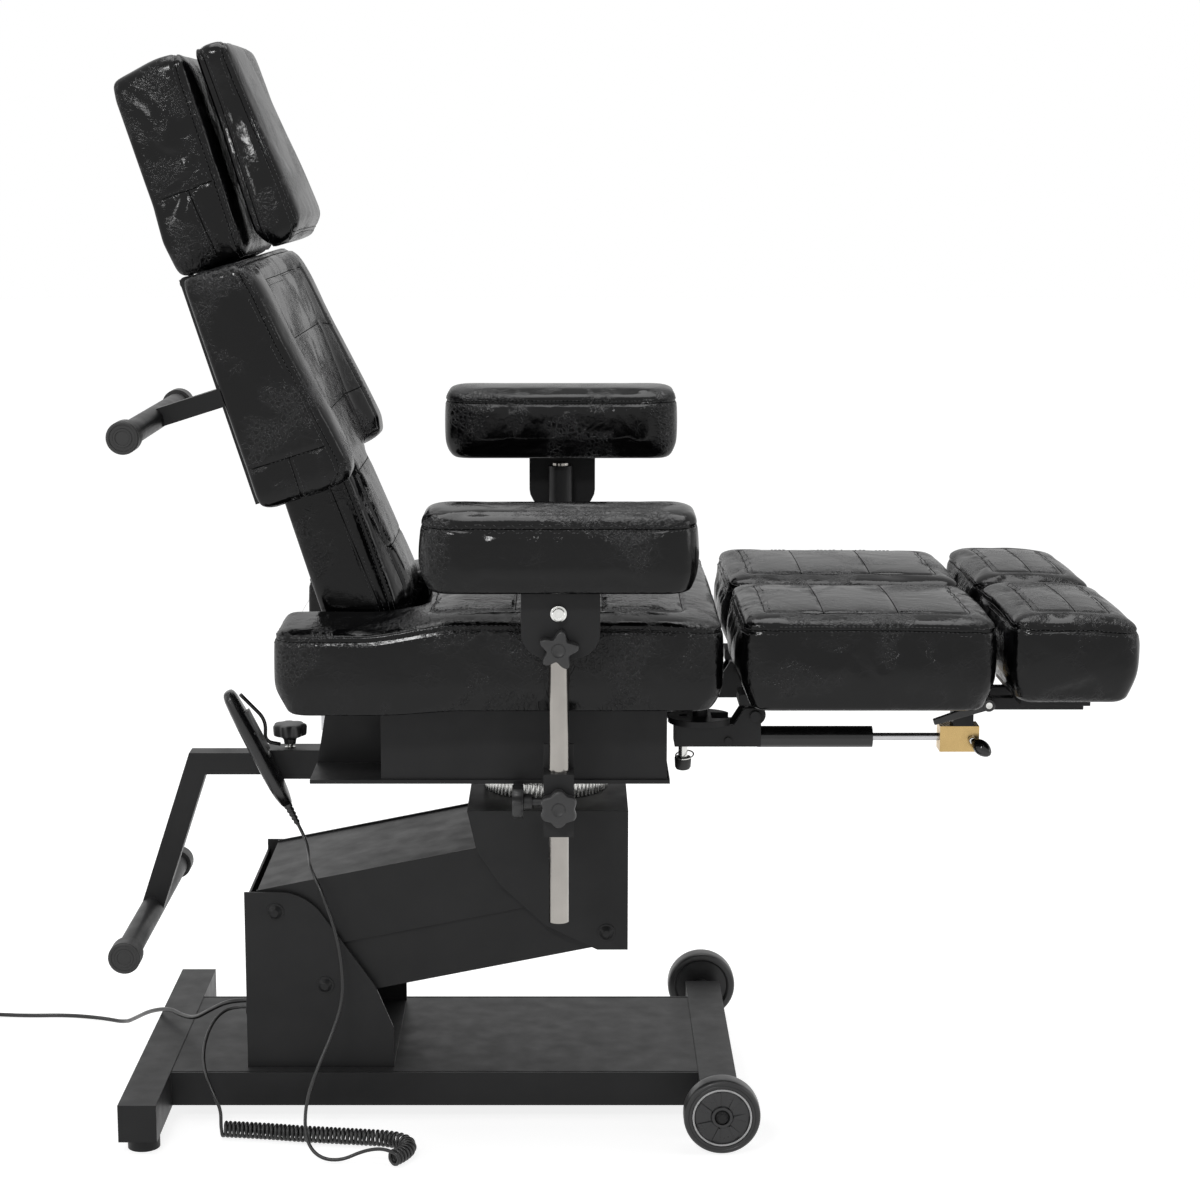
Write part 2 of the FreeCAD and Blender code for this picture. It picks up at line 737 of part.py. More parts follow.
# The lift drive inside the arms: a motor tube hung on the lower shaft and a rod that reaches the head shaft.
def make_drive():
    reach_x = f"(({HEAD_X}) - ({LOWER_X}))"
    reach_z = f"(({HEAD_Z}) - lower_pivot_z)"
    reach = f"sqrt({reach_x} * {reach_x} + {reach_z} * {reach_z})"
    drive = Stand(LOWER_X, "lower_pivot_z", f"atan({reach_z} / {reach_x}) / 1 deg")
    eye = round_bar("drive_tail", drive, "Y", "0", "-eye_wide / 2", "0", "motor_tail_radius", "eye_wide")
    neck = box("drive_neck", drive, "0", "-eye_wide / 2", "-motor_tail_radius / 2", "tube_start + overrun",
               "eye_wide", "motor_tail_radius")
    tube = round_bar("drive_tube", drive, "X", "tube_start", "0", "0", "motor_radius", "tube_long")
    motor = round_bar("drive_motor", drive, "X", "tube_start", "motor_offset", "0", "motor_radius", "tube_long / 2")
    gear = box("drive_gearcase", drive, "tube_start", "0", "-motor_radius", "tube_long / 6", "motor_offset",
               "2 * motor_radius")
    tail_hole = round_bar("drive_tail_hole", drive, "Y", "0", "-eye_wide", "0", "pivot_radius + turn_play",
                          "2 * eye_wide")
    screw_hole = round_bar("drive_bore", drive, "X", "tube_start + tube_long / 6", "0", "0",
                           "screw_radius + turn_play", "tube_long")
    node("drive_motor_tube", [cut("drive_body", fuse("drive_blank", [eye, neck, tube, motor, gear]),
                                  [tail_hole, screw_hole])])
    rod = round_bar("drive_rod", drive, "X", "tube_start + tube_long * 0.6", "0", "0", "screw_radius",
                    f"{reach} - tube_start - tube_long * 0.6 - eye_hole")
    head = round_bar("drive_head", drive, "Y", reach, "-eye_wide / 2", "0", "eye_radius", "eye_wide")
    head_hole = round_bar("drive_head_hole", drive, "Y", reach, "-eye_wide", "0", "eye_hole", "2 * eye_wide")
    node("drive_rod", [cut("drive_rod_turned", fuse("drive_rod_blank", [rod, head]), [head_hole])])


GUIDE_SIDE = "(bar_side + 2 * seat_gap + 2 * guide_wall)"
GUIDE_BORE = "(bar_side + 2 * seat_gap)"


# The seat box: welded plates on a turntable, with the foot bar's sleeve, the armrest guides and the back's ears.
def make_seat_box():
    pieces = []
    pieces.append(box("seat_floor", FLOOR, "-floor_rear", "-(box_half + floor_lip)", "box_low",
                      "floor_rear + box_front + floor_lip", "2 * (box_half + floor_lip)", "floor_thick"))
    wall_low = "box_low + floor_thick"
    wall_high = "box_high - box_low - floor_thick"
    for label, side in SIDES:
        pieces.append(box("seat_wall_" + label, FLOOR, "-box_rear", y_span(side, "box_half - plate_wall", "plate_wall"),
                          wall_low, "box_rear + box_front", "plate_wall", wall_high))
        ear = side_plate("back_ear_blank_" + label, FLOOR,
                         [("-floor_rear", wall_low), ("-box_rear", wall_low), ("-box_rear", "box_high"),
                          ("-hinge_back", "hinge_z + ear_radius"), ("-hinge_back - ear_radius", "hinge_z"),
                          ("-floor_rear + overrun", "hinge_z - 2 * ear_radius")],
                         y_span(side, "ear_y", "ear_thick"), "ear_thick")
        hole = round_bar("back_ear_hole_" + label, FLOOR, "Y", "-hinge_back", y_span(side, "ear_y - overrun", "4 * overrun"),
                         "hinge_z", "hinge_radius", "4 * overrun")
        pieces.append(cut("back_ear_" + label, ear, [hole]))
        pieces.append(round_bar("back_pin_" + label, FLOOR, "Y", "-hinge_back",
                                y_span(side, "ear_y - 3 * overrun", "ear_thick + 4 * overrun"), "hinge_z",
                                "hinge_radius", "ear_thick + 4 * overrun"))
        guide_low = f"box_low - {GUIDE_SIDE}"
        guide_long = "guide_outer - guide_inner"
        outer = box("guide_outer_" + label, FLOOR, f"post_x - {GUIDE_SIDE} / 2", y_span(side, "guide_inner", guide_long),
                    guide_low, GUIDE_SIDE, guide_long, GUIDE_SIDE)
        inner = box("guide_bore_" + label, FLOOR, f"post_x - {GUIDE_BORE} / 2",
                    y_span(side, "guide_inner - overrun", f"{guide_long} + 2 * overrun"),
                    f"{guide_low} + guide_wall", GUIDE_BORE, f"{guide_long} + 2 * overrun", GUIDE_BORE)
        hole = round_bar("guide_screw_hole_" + label, FLOOR, "X", f"post_x - {GUIDE_SIDE} / 2 - overrun",
                         f"{side} * bar_knob_y", f"box_low - {GUIDE_SIDE} / 2",
                         "screw_shank + turn_play", "2 * overrun")
        pieces.append(cut("guide_" + label, outer, [inner, hole]))
    for name, x in (("rear", "-box_rear"), ("front", "box_front - plate_wall")):
        end = box("seat_end_" + name, FLOOR, x, "-(box_half - plate_wall)", wall_low, "plate_wall",
                  "2 * (box_half - plate_wall)", wall_high)
        if name == "rear":
            end = cut("seat_end_rear_drilled", end, [round_bar("rod_window", FLOOR, "X", f"{x} - overrun", "0",
                                                               "hinge_z - lever_drop", "2 * rod_radius",
                                                               "plate_wall + 2 * overrun")])
        pieces.append(end)
    pieces.append(fuse("turntable", [
        round_bar("turntable_disc", FLOOR, "Z", "0", "0", "carriage_top + ring_high + seat_gap", "turntable_radius",
                  "box_low - carriage_top - ring_high - seat_gap"),
        round_bar("turntable_spindle", FLOOR, "Z", "0", "0", "carriage_top + seat_gap", "spindle_radius",
                  "box_low - carriage_top - seat_gap")]))
    for label, side in SIDES:
        mid = f"{side} * leg_y"
        tongue = box("leg_tongue_" + label, FLOOR, "box_front", f"{mid} - splay_plate_half",
                     "box_high - splay_plate_thick", "splay_x - box_front + splay_stud + plate_wall",
                     "2 * splay_plate_half", "splay_plate_thick")
        stud = round_bar("leg_stud_" + label, FLOOR, "Z", "splay_x", mid, "splay_z - plate_wall", "splay_stud",
                         "box_high - splay_z + plate_wall - splay_plate_thick / 2")
        pieces.append(fuse("leg_mount_" + label, [tongue, stud]))
    sleeve_long = "sleeve_rear - sleeve_front"
    sleeve = box("sleeve_blank", FLOOR, "-sleeve_rear", "-sleeve_side / 2", "box_low - sleeve_side", sleeve_long,
                 "sleeve_side", "sleeve_side")
    bore_side = "(sleeve_side - 2 * sleeve_wall)"
    bore = box("sleeve_bore", FLOOR, "-sleeve_rear - overrun", f"-{bore_side} / 2", "box_low - sleeve_side + sleeve_wall",
               f"{sleeve_long} + 2 * overrun", bore_side, bore_side)
    hole = round_bar("sleeve_screw_hole", FLOOR, "Z", "-step_knob_x", "0", "box_low - overrun * 2",
                     "screw_shank + turn_play", "4 * overrun")
    pieces.append(cut("step_sleeve", sleeve, [bore, hole]))
    node("seat_box", pieces)


STEP_Z = "box_low - sleeve_side / 2"


# The sliding foot bar: a tube in the sleeve, a leg that slopes down, a round cross grip and its caps.
def make_step():
    slope = "270 - atan(step_drop_x / step_drop_z) / 1 deg"
    drop = "sqrt(step_drop_x * step_drop_x + step_drop_z * step_drop_z)"
    level = box("step_level", FLOOR, "-step_reach - step_side * 0.35", "-step_side / 2", f"{STEP_Z} - step_side / 2",
                "step_reach + step_side * 0.35 - step_front", "step_side", "step_side")
    fall = Stand("-step_reach", STEP_Z, slope)
    leg = box("step_leg", fall, "-step_side * 0.35", "-step_side / 2", "-step_side / 2", f"{drop} + step_side * 0.35",
              "step_side", "step_side")
    grip = round_bar("step_grip", FLOOR, "Y", "-step_reach - step_drop_x", "-grip_half", f"{STEP_Z} - step_drop_z",
                     "grip_radius", "2 * grip_half")
    caps = [round_bar("step_cap_" + label, FLOOR, "Y", "-step_reach - step_drop_x",
                      y_span(side, "grip_half", "grip_cap_wide"), f"{STEP_Z} - step_drop_z", "grip_cap_radius",
                      "grip_cap_wide") for label, side in SIDES]
    node("step_bar", [fuse("step_tubes", [level, leg, grip])] + caps)
    shank = round_bar("step_screw", FLOOR, "Z", "-step_knob_x", "0", f"{STEP_Z} + step_side / 2 + seat_gap",
                      "screw_shank", "sleeve_wall + overrun * 4")
    head = round_bar("step_knob_head", FLOOR, "Z", "-step_knob_x", "0",
                     f"{STEP_Z} + step_side / 2 + seat_gap + sleeve_wall + overrun * 3", "knob_radius", "knob_high")
    node("step_knob", [fuse("step_knob_turned", [shank, head])])


BACK = Stand("-hinge_back", "hinge_z", "back_lean")


# One closed outline of a cushion across its length. It has rounded corners and slightly arched sides.
# across and up turn the outline's two directions into places.
def cushion_ring(place, half, low, high, corner, crown, bulge):
    mid = (low + high) / 2
    slant = corner * (1 - math.sqrt(0.5))

    def arc(first, middle, last):
        return Part.Arc(place(*first), place(*middle), place(*last)).toShape()

    def run(first, last):
        return Part.LineSegment(place(*first), place(*last)).toShape()

    edges = [
        run((-half + corner, low), (half - corner, low)),
        arc((half - corner, low), (half - slant, low + slant), (half, low + corner)),
        arc((half, low + corner), (half + bulge, mid), (half, high - corner)),
        arc((half, high - corner), (half - slant, high - slant), (half - corner, high)),
        arc((half - corner, high), (0, high + crown), (-half + corner, high)),
        arc((-half + corner, high), (-half + slant, high - slant), (-half, high - corner)),
        arc((-half, high - corner), (-half - bulge, mid), (-half, low + corner)),
        arc((-half, low + corner), (-half + slant, low + slant), (-half + corner, low)),
    ]
    return Part.Wire(edges)


# A stuffed cushion lofted along its length. Stations give (share of length, half width, high).
# Both ends are rounded over the corner's size and drawn in.
def cushion(axis, start, end, middle, stations, low, corner, crown):
    def placer(along):
        if axis == "X":
            return lambda across, up: Vector(along, middle + across, up)
        return lambda across, up: Vector(up, middle + across, along)

    def look(share):
        for (first, half_a, high_a), (last, half_b, high_b) in zip(stations, stations[1:]):
            if share <= last:
                part = (share - first) / (last - first)
                return half_a + (half_b - half_a) * part, high_a + (high_b - high_a) * part
        return stations[-1][1:]

    long = end - start
    end_share = corner / long
    shares = [(0, 1.0), (0.12 * end_share, 0.62), (0.4 * end_share, 0.25), (end_share, 0.0)]
    inner = [(share, 0.0) for share, half, high in stations[1:-1]]
    if not inner:
        inner = [(0.5, 0.0)]
    rings = []
    ladder = shares + inner + [(1 - share, inset) for share, inset in reversed(shares)]
    for share, inset in ladder:
        half, high = look(share)
        draw = corner * 0.45 * inset
        rise = crown * (1 - 0.7 * inset)
        ring = cushion_ring(placer(start + long * share), half - draw, low + draw * 0.5, high - draw,
                            corner * (1 - 0.35 * inset), rise, crown * 0.35)
        rings.append(ring)
    return Part.makeLoft(rings, True, True)


# The seat cushion, with a notch at the rear for the back's waist.
def make_seat_cushion():
    start = -worth("seat_rear")
    end = worth("seat_front")
    half = worth("seat_half")
    bulge = worth("seat_crown") * 0.35
    stations = [(0, half - bulge, worth("seat_rear_top")), (0.25, half - bulge, worth("seat_rear_top + seat_rear_lift")),
                (0.38, half - bulge, worth("seat_top - seat_dip")), (0.7, half - bulge, worth("seat_top")),
                (1, half - bulge, worth("seat_top"))]
    low = worth("seat_low")
    shape = cushion("X", start, end, 0, stations, low, worth("seat_round"), worth("seat_crown"))
    reach = worth("seat_rear - notch_front") + worth("overrun")
    notch = Part.makeBox(reach, worth("2 * notch_half"), worth("seat_top"),
                         Vector(start - worth("overrun"), -worth("notch_half"), low - worth("overrun")))
    edges = [edge for edge in notch.Edges
             if all(abs(end_.X + worth("notch_front")) < TINY for end_ in edge.Vertexes)
             and abs(edge.Vertexes[0].Y - edge.Vertexes[-1].Y) < TINY]
    notch = notch.makeFillet(worth("notch_round"), edges)
    shape = shape.cut(notch)
    node("seat_cushion", [formed("seat_cushion", shape, FLOOR.placement())])


# The back: frame tubes with hinge lugs and the rear grip, the wide upper cushion with bolsters, and the waist.
def make_back():
    pieces = []
    ledge = "(shoulder_low - seat_gap - ledge_thick)"
    ledge_long = "frame_front + frame_side - frame_rear"
    for label, side in SIDES:
        y = y_span(side, "frame_half - frame_side", "frame_side")
        high = box("back_tube_high_" + label, BACK, "frame_rear", y, ledge, "frame_side", "frame_side",
                   f"frame_top - {ledge}")
        step = box("back_ledge_" + label, BACK, "frame_rear", y, ledge, ledge_long, "frame_side", "ledge_thick")
        low = box("back_tube_low_" + label, BACK, "frame_front", y, "-frame_side", "frame_side", "frame_side",
                  f"{ledge} + ledge_thick + frame_side")
        lug = box("back_lug_" + label, BACK, "frame_rear", y, "-frame_side", ledge_long, "frame_side", "2 * frame_side")
        hole = round_bar("back_lug_hole_" + label, BACK, "Y", "0", y_span(side, "frame_half - 2 * frame_side", "4 * frame_side"),
                         "0", "hinge_radius + turn_play", "4 * frame_side")
        pieces.append(cut("back_tube_" + label, fuse("back_lugged_" + label, [high, step, low, lug]), [hole]))
    cross_wide = "2 * (frame_half - frame_side)"
    for name, x, z in (("low", "frame_front", "waist_low"), ("mid", "frame_rear", "grip_z - frame_side / 2"),
                       ("top", "frame_rear", "frame_top - frame_side")):
        pieces.append(box("back_cross_" + name, BACK, x, "-(frame_half - frame_side)", z, "frame_side",
                          cross_wide, "frame_side"))
    lever_x = "(-lever_swing * cos(back_lean) - lever_drop * sin(back_lean))"
    lever_z = "(lever_swing * sin(back_lean) - lever_drop * cos(back_lean))"
    pieces.append(side_plate("back_lever", BACK, [
        ("frame_front", "waist_low"), ("frame_front + frame_side", "waist_low"), ("frame_rear + frame_side", "0"),
        (f"{lever_x} + rod_radius", f"{lever_z} - rod_radius"), (f"{lever_x} - rod_radius", f"{lever_z} + rod_radius"),
        ("frame_rear", "hinge_radius * 2")], "-lever_thick / 2", "lever_thick"))
    stub = box("grip_stub", BACK, "-grip_reach", "-grip_side / 2", "grip_z - grip_side / 2",
               "grip_reach + frame_rear", "grip_side", "grip_side")
    bar = round_bar("grip_bar", BACK, "Y", "-grip_reach", "-grip_half", "grip_z", "grip_radius", "2 * grip_half")
    pieces.append(fuse("grip_tubes", [stub, bar]))
    for label, side in SIDES:
        pieces.append(round_bar("grip_cap_" + label, BACK, "Y", "-grip_reach", y_span(side, "grip_half", "grip_cap_wide"),
                                "grip_z", "grip_cap_radius", "grip_cap_wide"))
    for label, side in SIDES:
        pin = round_bar("head_pin_" + label, BACK, "Y", "head_hinge_rear",
                        y_span(side, "head_strap_y - head_knuckle", "head_strap_wide + 2 * head_knuckle"),
                        "shoulder_high", "head_pin", "head_strap_wide + 2 * head_knuckle")
        cheeks = []
        for name, y in (("in", "head_strap_y - head_knuckle"), ("out", "head_strap_y + head_strap_wide + seat_gap")):
            cheeks.append(box(f"head_cheek_{name}_{label}", BACK, "head_hinge_rear - head_pin * 1.5",
                              y_span(side, y, "head_knuckle - seat_gap"), "frame_top", "head_pin * 3",
                              "head_knuckle - seat_gap", "shoulder_high - frame_top + head_pin * 1.5"))
        pieces.append(fuse("head_hinge_post_" + label, [pin] + cheeks))
    node("back_frame", pieces)

    corner = worth("shoulder_round")
    crown = worth("back_crown")
    rear = worth("back_rear")
    front = worth("back_front")
    low = worth("shoulder_low")
    high = worth("shoulder_high")
    bulge = crown * 0.35
    half = worth("shoulder_half") - bulge
    stations = [(0, half, front + worth("shoulder_foot")), (0.3, half, front + worth("shoulder_belly")),
                (0.65, half, front + worth("shoulder_neck")), (1, half, front - worth("shoulder_taper"))]
    upper = cushion("Z", low, high, 0, stations, rear, corner, crown)
    waist_half = worth("waist_half - waist_crown * 0.35")
    waist = cushion("Z", worth("waist_low"), low - worth("seat_gap"), 0,
                    [(0, waist_half, worth("waist_front")), (1, waist_half, worth("waist_front"))],
                    worth("waist_rear"), corner, worth("waist_crown"))
    channel_half = worth("frame_half + plate_wall")
    channel = Part.makeBox(worth("frame_front + frame_side + seat_gap - waist_rear + overrun"), 2 * channel_half,
                           worth("shoulder_low"), Vector(worth("waist_rear - overrun"), -channel_half, 0))
    waist = waist.cut(channel)
    node("back_cushion", [formed("shoulder_cushion", upper, BACK.placement()),
                          formed("waist_cushion", waist, BACK.placement())])


# The locking gas spring that holds the back: its tube rests in the seat box and its rod on the back's lever.
def make_back_spring():
    level = "hinge_z - lever_drop"
    tube = round_bar("back_spring_tube", FLOOR, "X", "spring_start", "0", level, "cylinder_radius", "spring_long")
    bore = round_bar("back_spring_bore", FLOOR, "X", "spring_start - overrun", "0", level, "rod_radius + turn_play",
                     "spring_long - overrun")
    tail = box("back_spring_tail", FLOOR, "spring_start + spring_long - overrun", "-cylinder_radius / 2",
               f"{level} - cylinder_radius / 2", "box_front - plate_wall - spring_start - spring_long + overrun",
               "cylinder_radius", "cylinder_radius")
    node("back_spring_tube", [cut("back_spring_body", fuse("back_spring_blank", [tube, tail]), [bore])])
    rear = "-hinge_back - lever_swing"
    rod = round_bar("back_spring_rod_bar", FLOOR, "X", f"{rear} + rod_radius * 3", "0", level, "rod_radius",
                    f"spring_start + spring_long / 3 - ({rear}) - rod_radius * 3")
    yoke = box("back_spring_yoke", FLOOR, f"{rear} - rod_radius * 2", "-2 * rod_radius", f"{level} - 2 * rod_radius",
               "6 * rod_radius", "4 * rod_radius", "4 * rod_radius")
    gap = box("back_spring_yoke_gap", FLOOR, f"{rear} - rod_radius * 3", "-lever_thick / 2 - seat_gap",
              f"{level} - 4 * rod_radius", "6 * rod_radius", "lever_thick + 2 * seat_gap", "8 * rod_radius")
    node("back_spring_rod", [cut("back_spring_fork", fuse("back_rod_blank", [rod, yoke]), [gap])])


# The headrest: hinge straps, the deep rear pad and the waisted front pillow.
def make_head():
    pieces = []
    for label, side in SIDES:
        y = y_span(side, "head_strap_y", "head_strap_wide")
        strap = box("head_strap_" + label, BACK, "head_rear - plate_wall - seat_gap", y, "shoulder_high",
                    "plate_wall", "head_strap_wide", "head_strap_high")
        knuckle = round_bar("head_knuckle_" + label, BACK, "Y", "head_hinge_rear", y, "shoulder_high",
                            "head_knuckle", "head_strap_wide")
        hole = round_bar("head_pin_hole_" + label, BACK, "Y", "head_hinge_rear",
                         y_span(side, "head_strap_y - overrun", "head_strap_wide + 2 * overrun"), "shoulder_high",
                         "head_pin + turn_play", "head_strap_wide + 2 * overrun")
        pieces.append(cut("head_hinge_" + label, fuse("head_hinge_blank_" + label, [strap, knuckle]), [hole]))
    node("head_frame", pieces)
    corner = worth("pillow_round")
    low = worth("shoulder_high + seat_gap")
    high = worth("head_high")
    half = worth("head_half - pillow_round / 4")
    front = worth("head_front")
    pad = cushion("Z", low, high, 0, [(0, half, front - worth("head_swell")), (0.5, half, front + worth("head_swell")), (1, half, front)],
                  worth("head_rear"), corner, worth("back_crown") * 0.5)
    node("head_pad", [formed("head_pad", pad, BACK.placement())])
    wide = half
    narrow = worth("pillow_waist_half")
    pillow = cushion("Z", low, high + worth("pillow_rise"), 0,
                     [(0, wide, worth("pillow_front + pillow_chin")), (0.42, narrow, worth("pillow_front - pillow_dip")),
                      (0.62, narrow, worth("pillow_front - pillow_hollow")), (1, wide, worth("pillow_front - pillow_brow"))],
                     front + worth("head_swell + back_crown * 0.5 + seat_gap"), corner * 0.8, worth("back_crown") * 0.5)
    node("head_pillow", [formed("head_pillow", pillow, BACK.placement())])


# One leg support: splay disc and bracket, hinged frame, cushion, sliding foot rest, gas spring and levers.
def make_leg(label, side):
    mid = f"{side} * leg_y"

    def centred(wide):
        return f"{mid} - ({wide}) / 2"

    top = round_bar("splay_disc_" + label, FLOOR, "Z", "splay_x", mid, "splay_z", "splay_disc_radius", "splay_disc_thick")
    arm = side_plate("splay_arm_" + label, FLOOR,
                     [("plunger_x - 2 * plunger_radius", "bracket_low"), ("bracket_front", "bracket_low"),
                      ("bracket_front", "pitch_z + 1.4 * pitch_radius"),
                      ("pitch_x - 2 * pitch_radius", "pitch_z + 1.4 * pitch_radius"),
                      ("pitch_x - 4 * pitch_radius", "splay_z"), ("plunger_x - 2 * plunger_radius", "splay_z")],
                     centred("2 * bracket_half"), "2 * bracket_half")
    slot = box("splay_slot_" + label, FLOOR, "spring_tail_x - 3 * pitch_radius", centred("2 * bracket_half - 2 * bracket_thick"),
               "bracket_low - overrun", "bracket_front", "2 * bracket_half - 2 * bracket_thick",
               "pitch_z - bracket_low + 6 * pitch_radius")
    hole = round_bar("pitch_hole_" + label, FLOOR, "Y", "pitch_x", centred("4 * bracket_half"), "pitch_z",
                     "pitch_radius + turn_play", "4 * bracket_half")
    plunger_hole = round_bar("plunger_hole_" + label, FLOOR, "Z", "plunger_x", mid, "bracket_low - overrun",
                             "plunger_radius + turn_play", "splay_z - bracket_low + 2 * overrun + splay_disc_thick")
    stud_hole = round_bar("stud_hole_" + label, FLOOR, "Z", "splay_x", mid, "splay_z - 2 * plate_wall",
                          "splay_stud + turn_play", "splay_disc_thick + 3 * plate_wall")
    bracket = cut("splay_bracket_" + label, fuse("splay_blank_" + label, [top, arm]),
                  [slot, hole, plunger_hole, stud_hole])
    stubs = [round_bar(f"spring_stub_{label}_{number}", FLOOR, "Y", "spring_tail_x", f"{mid} + ({y})", "spring_z",
                       "rod_radius", "bracket_thick / 2")
             for number, y in enumerate(("bracket_half", "-bracket_half - bracket_thick / 2"))]
    node("splay_bracket_" + label, [bracket] + stubs)
    shank = round_bar("plunger_shank_" + label, FLOOR, "Z", "plunger_x", mid, "bracket_low - plunger_long",
                      "plunger_radius", "plunger_long + splay_z - bracket_low + splay_disc_thick / 2")
    head = round_bar("plunger_knob_" + label, FLOOR, "Z", "plunger_x", mid, "bracket_low - plunger_long",
                     "plunger_head", "plunger_long / 3")
    node("index_plunger_" + label, [fuse("plunger_" + label, [shank, head])])

    inner_wide = "2 * bracket_half - 2 * bracket_thick - 2 * seat_gap"
    rail = box("leg_rail_" + label, FLOOR, "leg_rail_rear", centred("leg_rail_wide"), "leg_rail_low", "leg_rail_front - leg_rail_rear",
               "leg_rail_wide", "leg_rail_high")
    bore_side = "(foot_bar_side + 2 * seat_gap)"
    knuckle = round_bar("leg_knuckle_" + label, FLOOR, "Y", "pitch_x", centred(inner_wide), "pitch_z", "2 * pitch_radius", inner_wide)
    pin = round_bar("pitch_pin_" + label, FLOOR, "Y", "pitch_x", centred("2 * bracket_half + 2 * bracket_thick"), "pitch_z",
                    "pitch_radius", "2 * bracket_half + 2 * bracket_thick")
    drop = box("leg_drop_" + label, FLOOR, "drop_x - drop_wide / 2", centred("release_wide"),
               "spring_z + release_high / 2", "drop_wide", "release_wide",
               "leg_rail_low - spring_z - release_high / 2")
    frame = fuse("leg_welded_" + label, [rail, knuckle, pin, drop])
    rod = round_bar("gas_rod_" + label, FLOOR, "X", "cylinder_front - cylinder_radius * 4", mid, "spring_z", "rod_radius",
                    "rod_front - cylinder_front + cylinder_radius * 4")
    release_long = "release_front - release_rear"
    shell = box("release_blank_" + label, FLOOR, "release_rear", centred("release_wide"), "spring_z - release_high / 2",
                release_long, "release_wide", "release_high")
    hollow = box("release_hollow_" + label, FLOOR, "release_rear + release_wall", centred("release_wide - 2 * release_wall"),
                 "spring_z - release_high / 2 - overrun", release_long, "release_wide - 2 * release_wall",
                 "release_high + overrun - release_wall")
    cross = round_bar("release_pin_hole_" + label, FLOOR, "Y", "release_front - 2 * release_pin", centred("2 * release_wide"),
                      "spring_z", "release_pin + turn_play", "2 * release_wide")
    release = cut("release_bracket_" + label, shell, [hollow, cross])
    node("leg_frame_" + label, [frame, rod, release])

    cylinder = round_bar("gas_tube_" + label, FLOOR, "X", "cylinder_rear", mid, "spring_z", "cylinder_radius",
                         "cylinder_front - cylinder_rear")
    tail = box("gas_tail_" + label, FLOOR, "spring_tail_x - 2 * rod_radius", centred("2 * rod_radius"), "spring_z - 1.6 * rod_radius",
               "cylinder_rear - spring_tail_x + 2 * rod_radius + overrun", "2 * rod_radius", "3.2 * rod_radius")
    bore = round_bar("gas_bore_" + label, FLOOR, "X", "cylinder_rear + 2 * cylinder_radius", mid, "spring_z",
                     "rod_radius + turn_play", "cylinder_front - cylinder_rear")
    node("gas_cylinder_" + label, [cut("gas_cylinder_bored_" + label, fuse("gas_blank_" + label, [cylinder, tail]), [bore])])

    arm_pin = round_bar("release_pin_" + label, FLOOR, "Y", "release_front - 2 * release_pin", centred("release_wide + 2 * release_pin"),
                        "spring_z", "release_pin", "release_wide + 2 * release_pin")
    stem = box("release_stem_" + label, FLOOR, "release_front - 2 * release_pin", centred("2 * release_pin"),
               "spring_z - release_pin", "lever_reach", "2 * release_pin", "2 * release_pin")
    ball = doc.addObject("Part::Sphere", "release_ball_" + label)
    bind(ball, "Radius", "2 * release_pin")
    put(ball, FLOOR, "release_front + lever_reach - 2 * release_pin", mid, "spring_z")
    node("release_lever_" + label, [fuse("release_lever_turned_" + label, [arm_pin, stem, ball])])

    outer_y = "leg_rail_wide / 2 + 2 * seat_gap + foot_bar_side"
    hub_wide = "3 * rod_radius"
    hub = round_bar("clamp_hub_" + label, FLOOR, "Y", "drop_x + drop_wide", y_at(side, outer_y, hub_wide),
                    "leg_rail_low + leg_rail_high / 2", "1.6 * rod_radius", hub_wide)
    handle = Stand("drop_x + drop_wide", "leg_rail_low + leg_rail_high / 2", "180 + 18")
    grip = box("clamp_grip_" + label, handle, "0", y_at(side, f"{outer_y} + rod_radius", "lever_wide"), "-lever_wide / 2",
               "lever_long", "lever_wide", "lever_wide")
    node("clamp_lever_" + label, [fuse("clamp_" + label, [hub, grip])])

    crown = worth("leg_crown")
    corner = worth("leg_round")
    half = worth("leg_width / 2") - crown * 0.35
    place = side * worth("leg_y")
    shape = cushion("X", worth("leg_rear"), worth("leg_front"), place,
                    [(0, half, worth("leg_top")), (0.5, half, worth("leg_top")), (1, half, worth("leg_top - leg_fall"))],
                    worth("leg_low"), corner, crown)
    node("leg_cushion_" + label, [formed("leg_cushion_" + label, shape, FLOOR.placement())])

    bar_top = "leg_rail_low - seat_gap"
    bars = []
    for name, y_side in (("in", -1), ("out", 1)):
        bars.append(box(f"foot_bar_{name}_{label}", FLOOR, "foot_bar_out - foot_bar_long + overrun",
                        f"{mid} + {y_side} * (leg_rail_wide / 2 + seat_gap + foot_bar_side / 2) - foot_bar_side / 2",
                        "leg_rail_low + leg_rail_high - foot_bar_side", "foot_bar_long", "foot_bar_side", "foot_bar_side"))
    shape = cushion("X", worth("foot_rear"), worth("foot_front"), place,
                    [(0, half, worth("foot_top - foot_rise")), (0.4, half, worth("foot_top")),
                       (1, half * 0.97, worth("foot_top - foot_fall"))],
                    worth("foot_low"), corner, crown)
    pad = formed("foot_cushion_" + label, shape, FLOOR.placement())
    board = box("foot_board_" + label, FLOOR, "foot_rear + leg_round", centred("leg_width - 4 * leg_round"),
                "leg_rail_low + leg_rail_high", "foot_front - foot_rear - 3 * leg_round", "leg_width - 4 * leg_round",
                "foot_low - leg_rail_low - leg_rail_high")
    node("foot_rest_" + label, [pad, fuse("foot_slide_" + label, bars + [board])])


# Y of a stretch that lies outside the leg's middle line, away from the other leg.
def y_at(side, inner, wide):
    if side > 0:
        return f"leg_y + ({inner})"
    return f"-leg_y - ({inner}) - ({wide})"


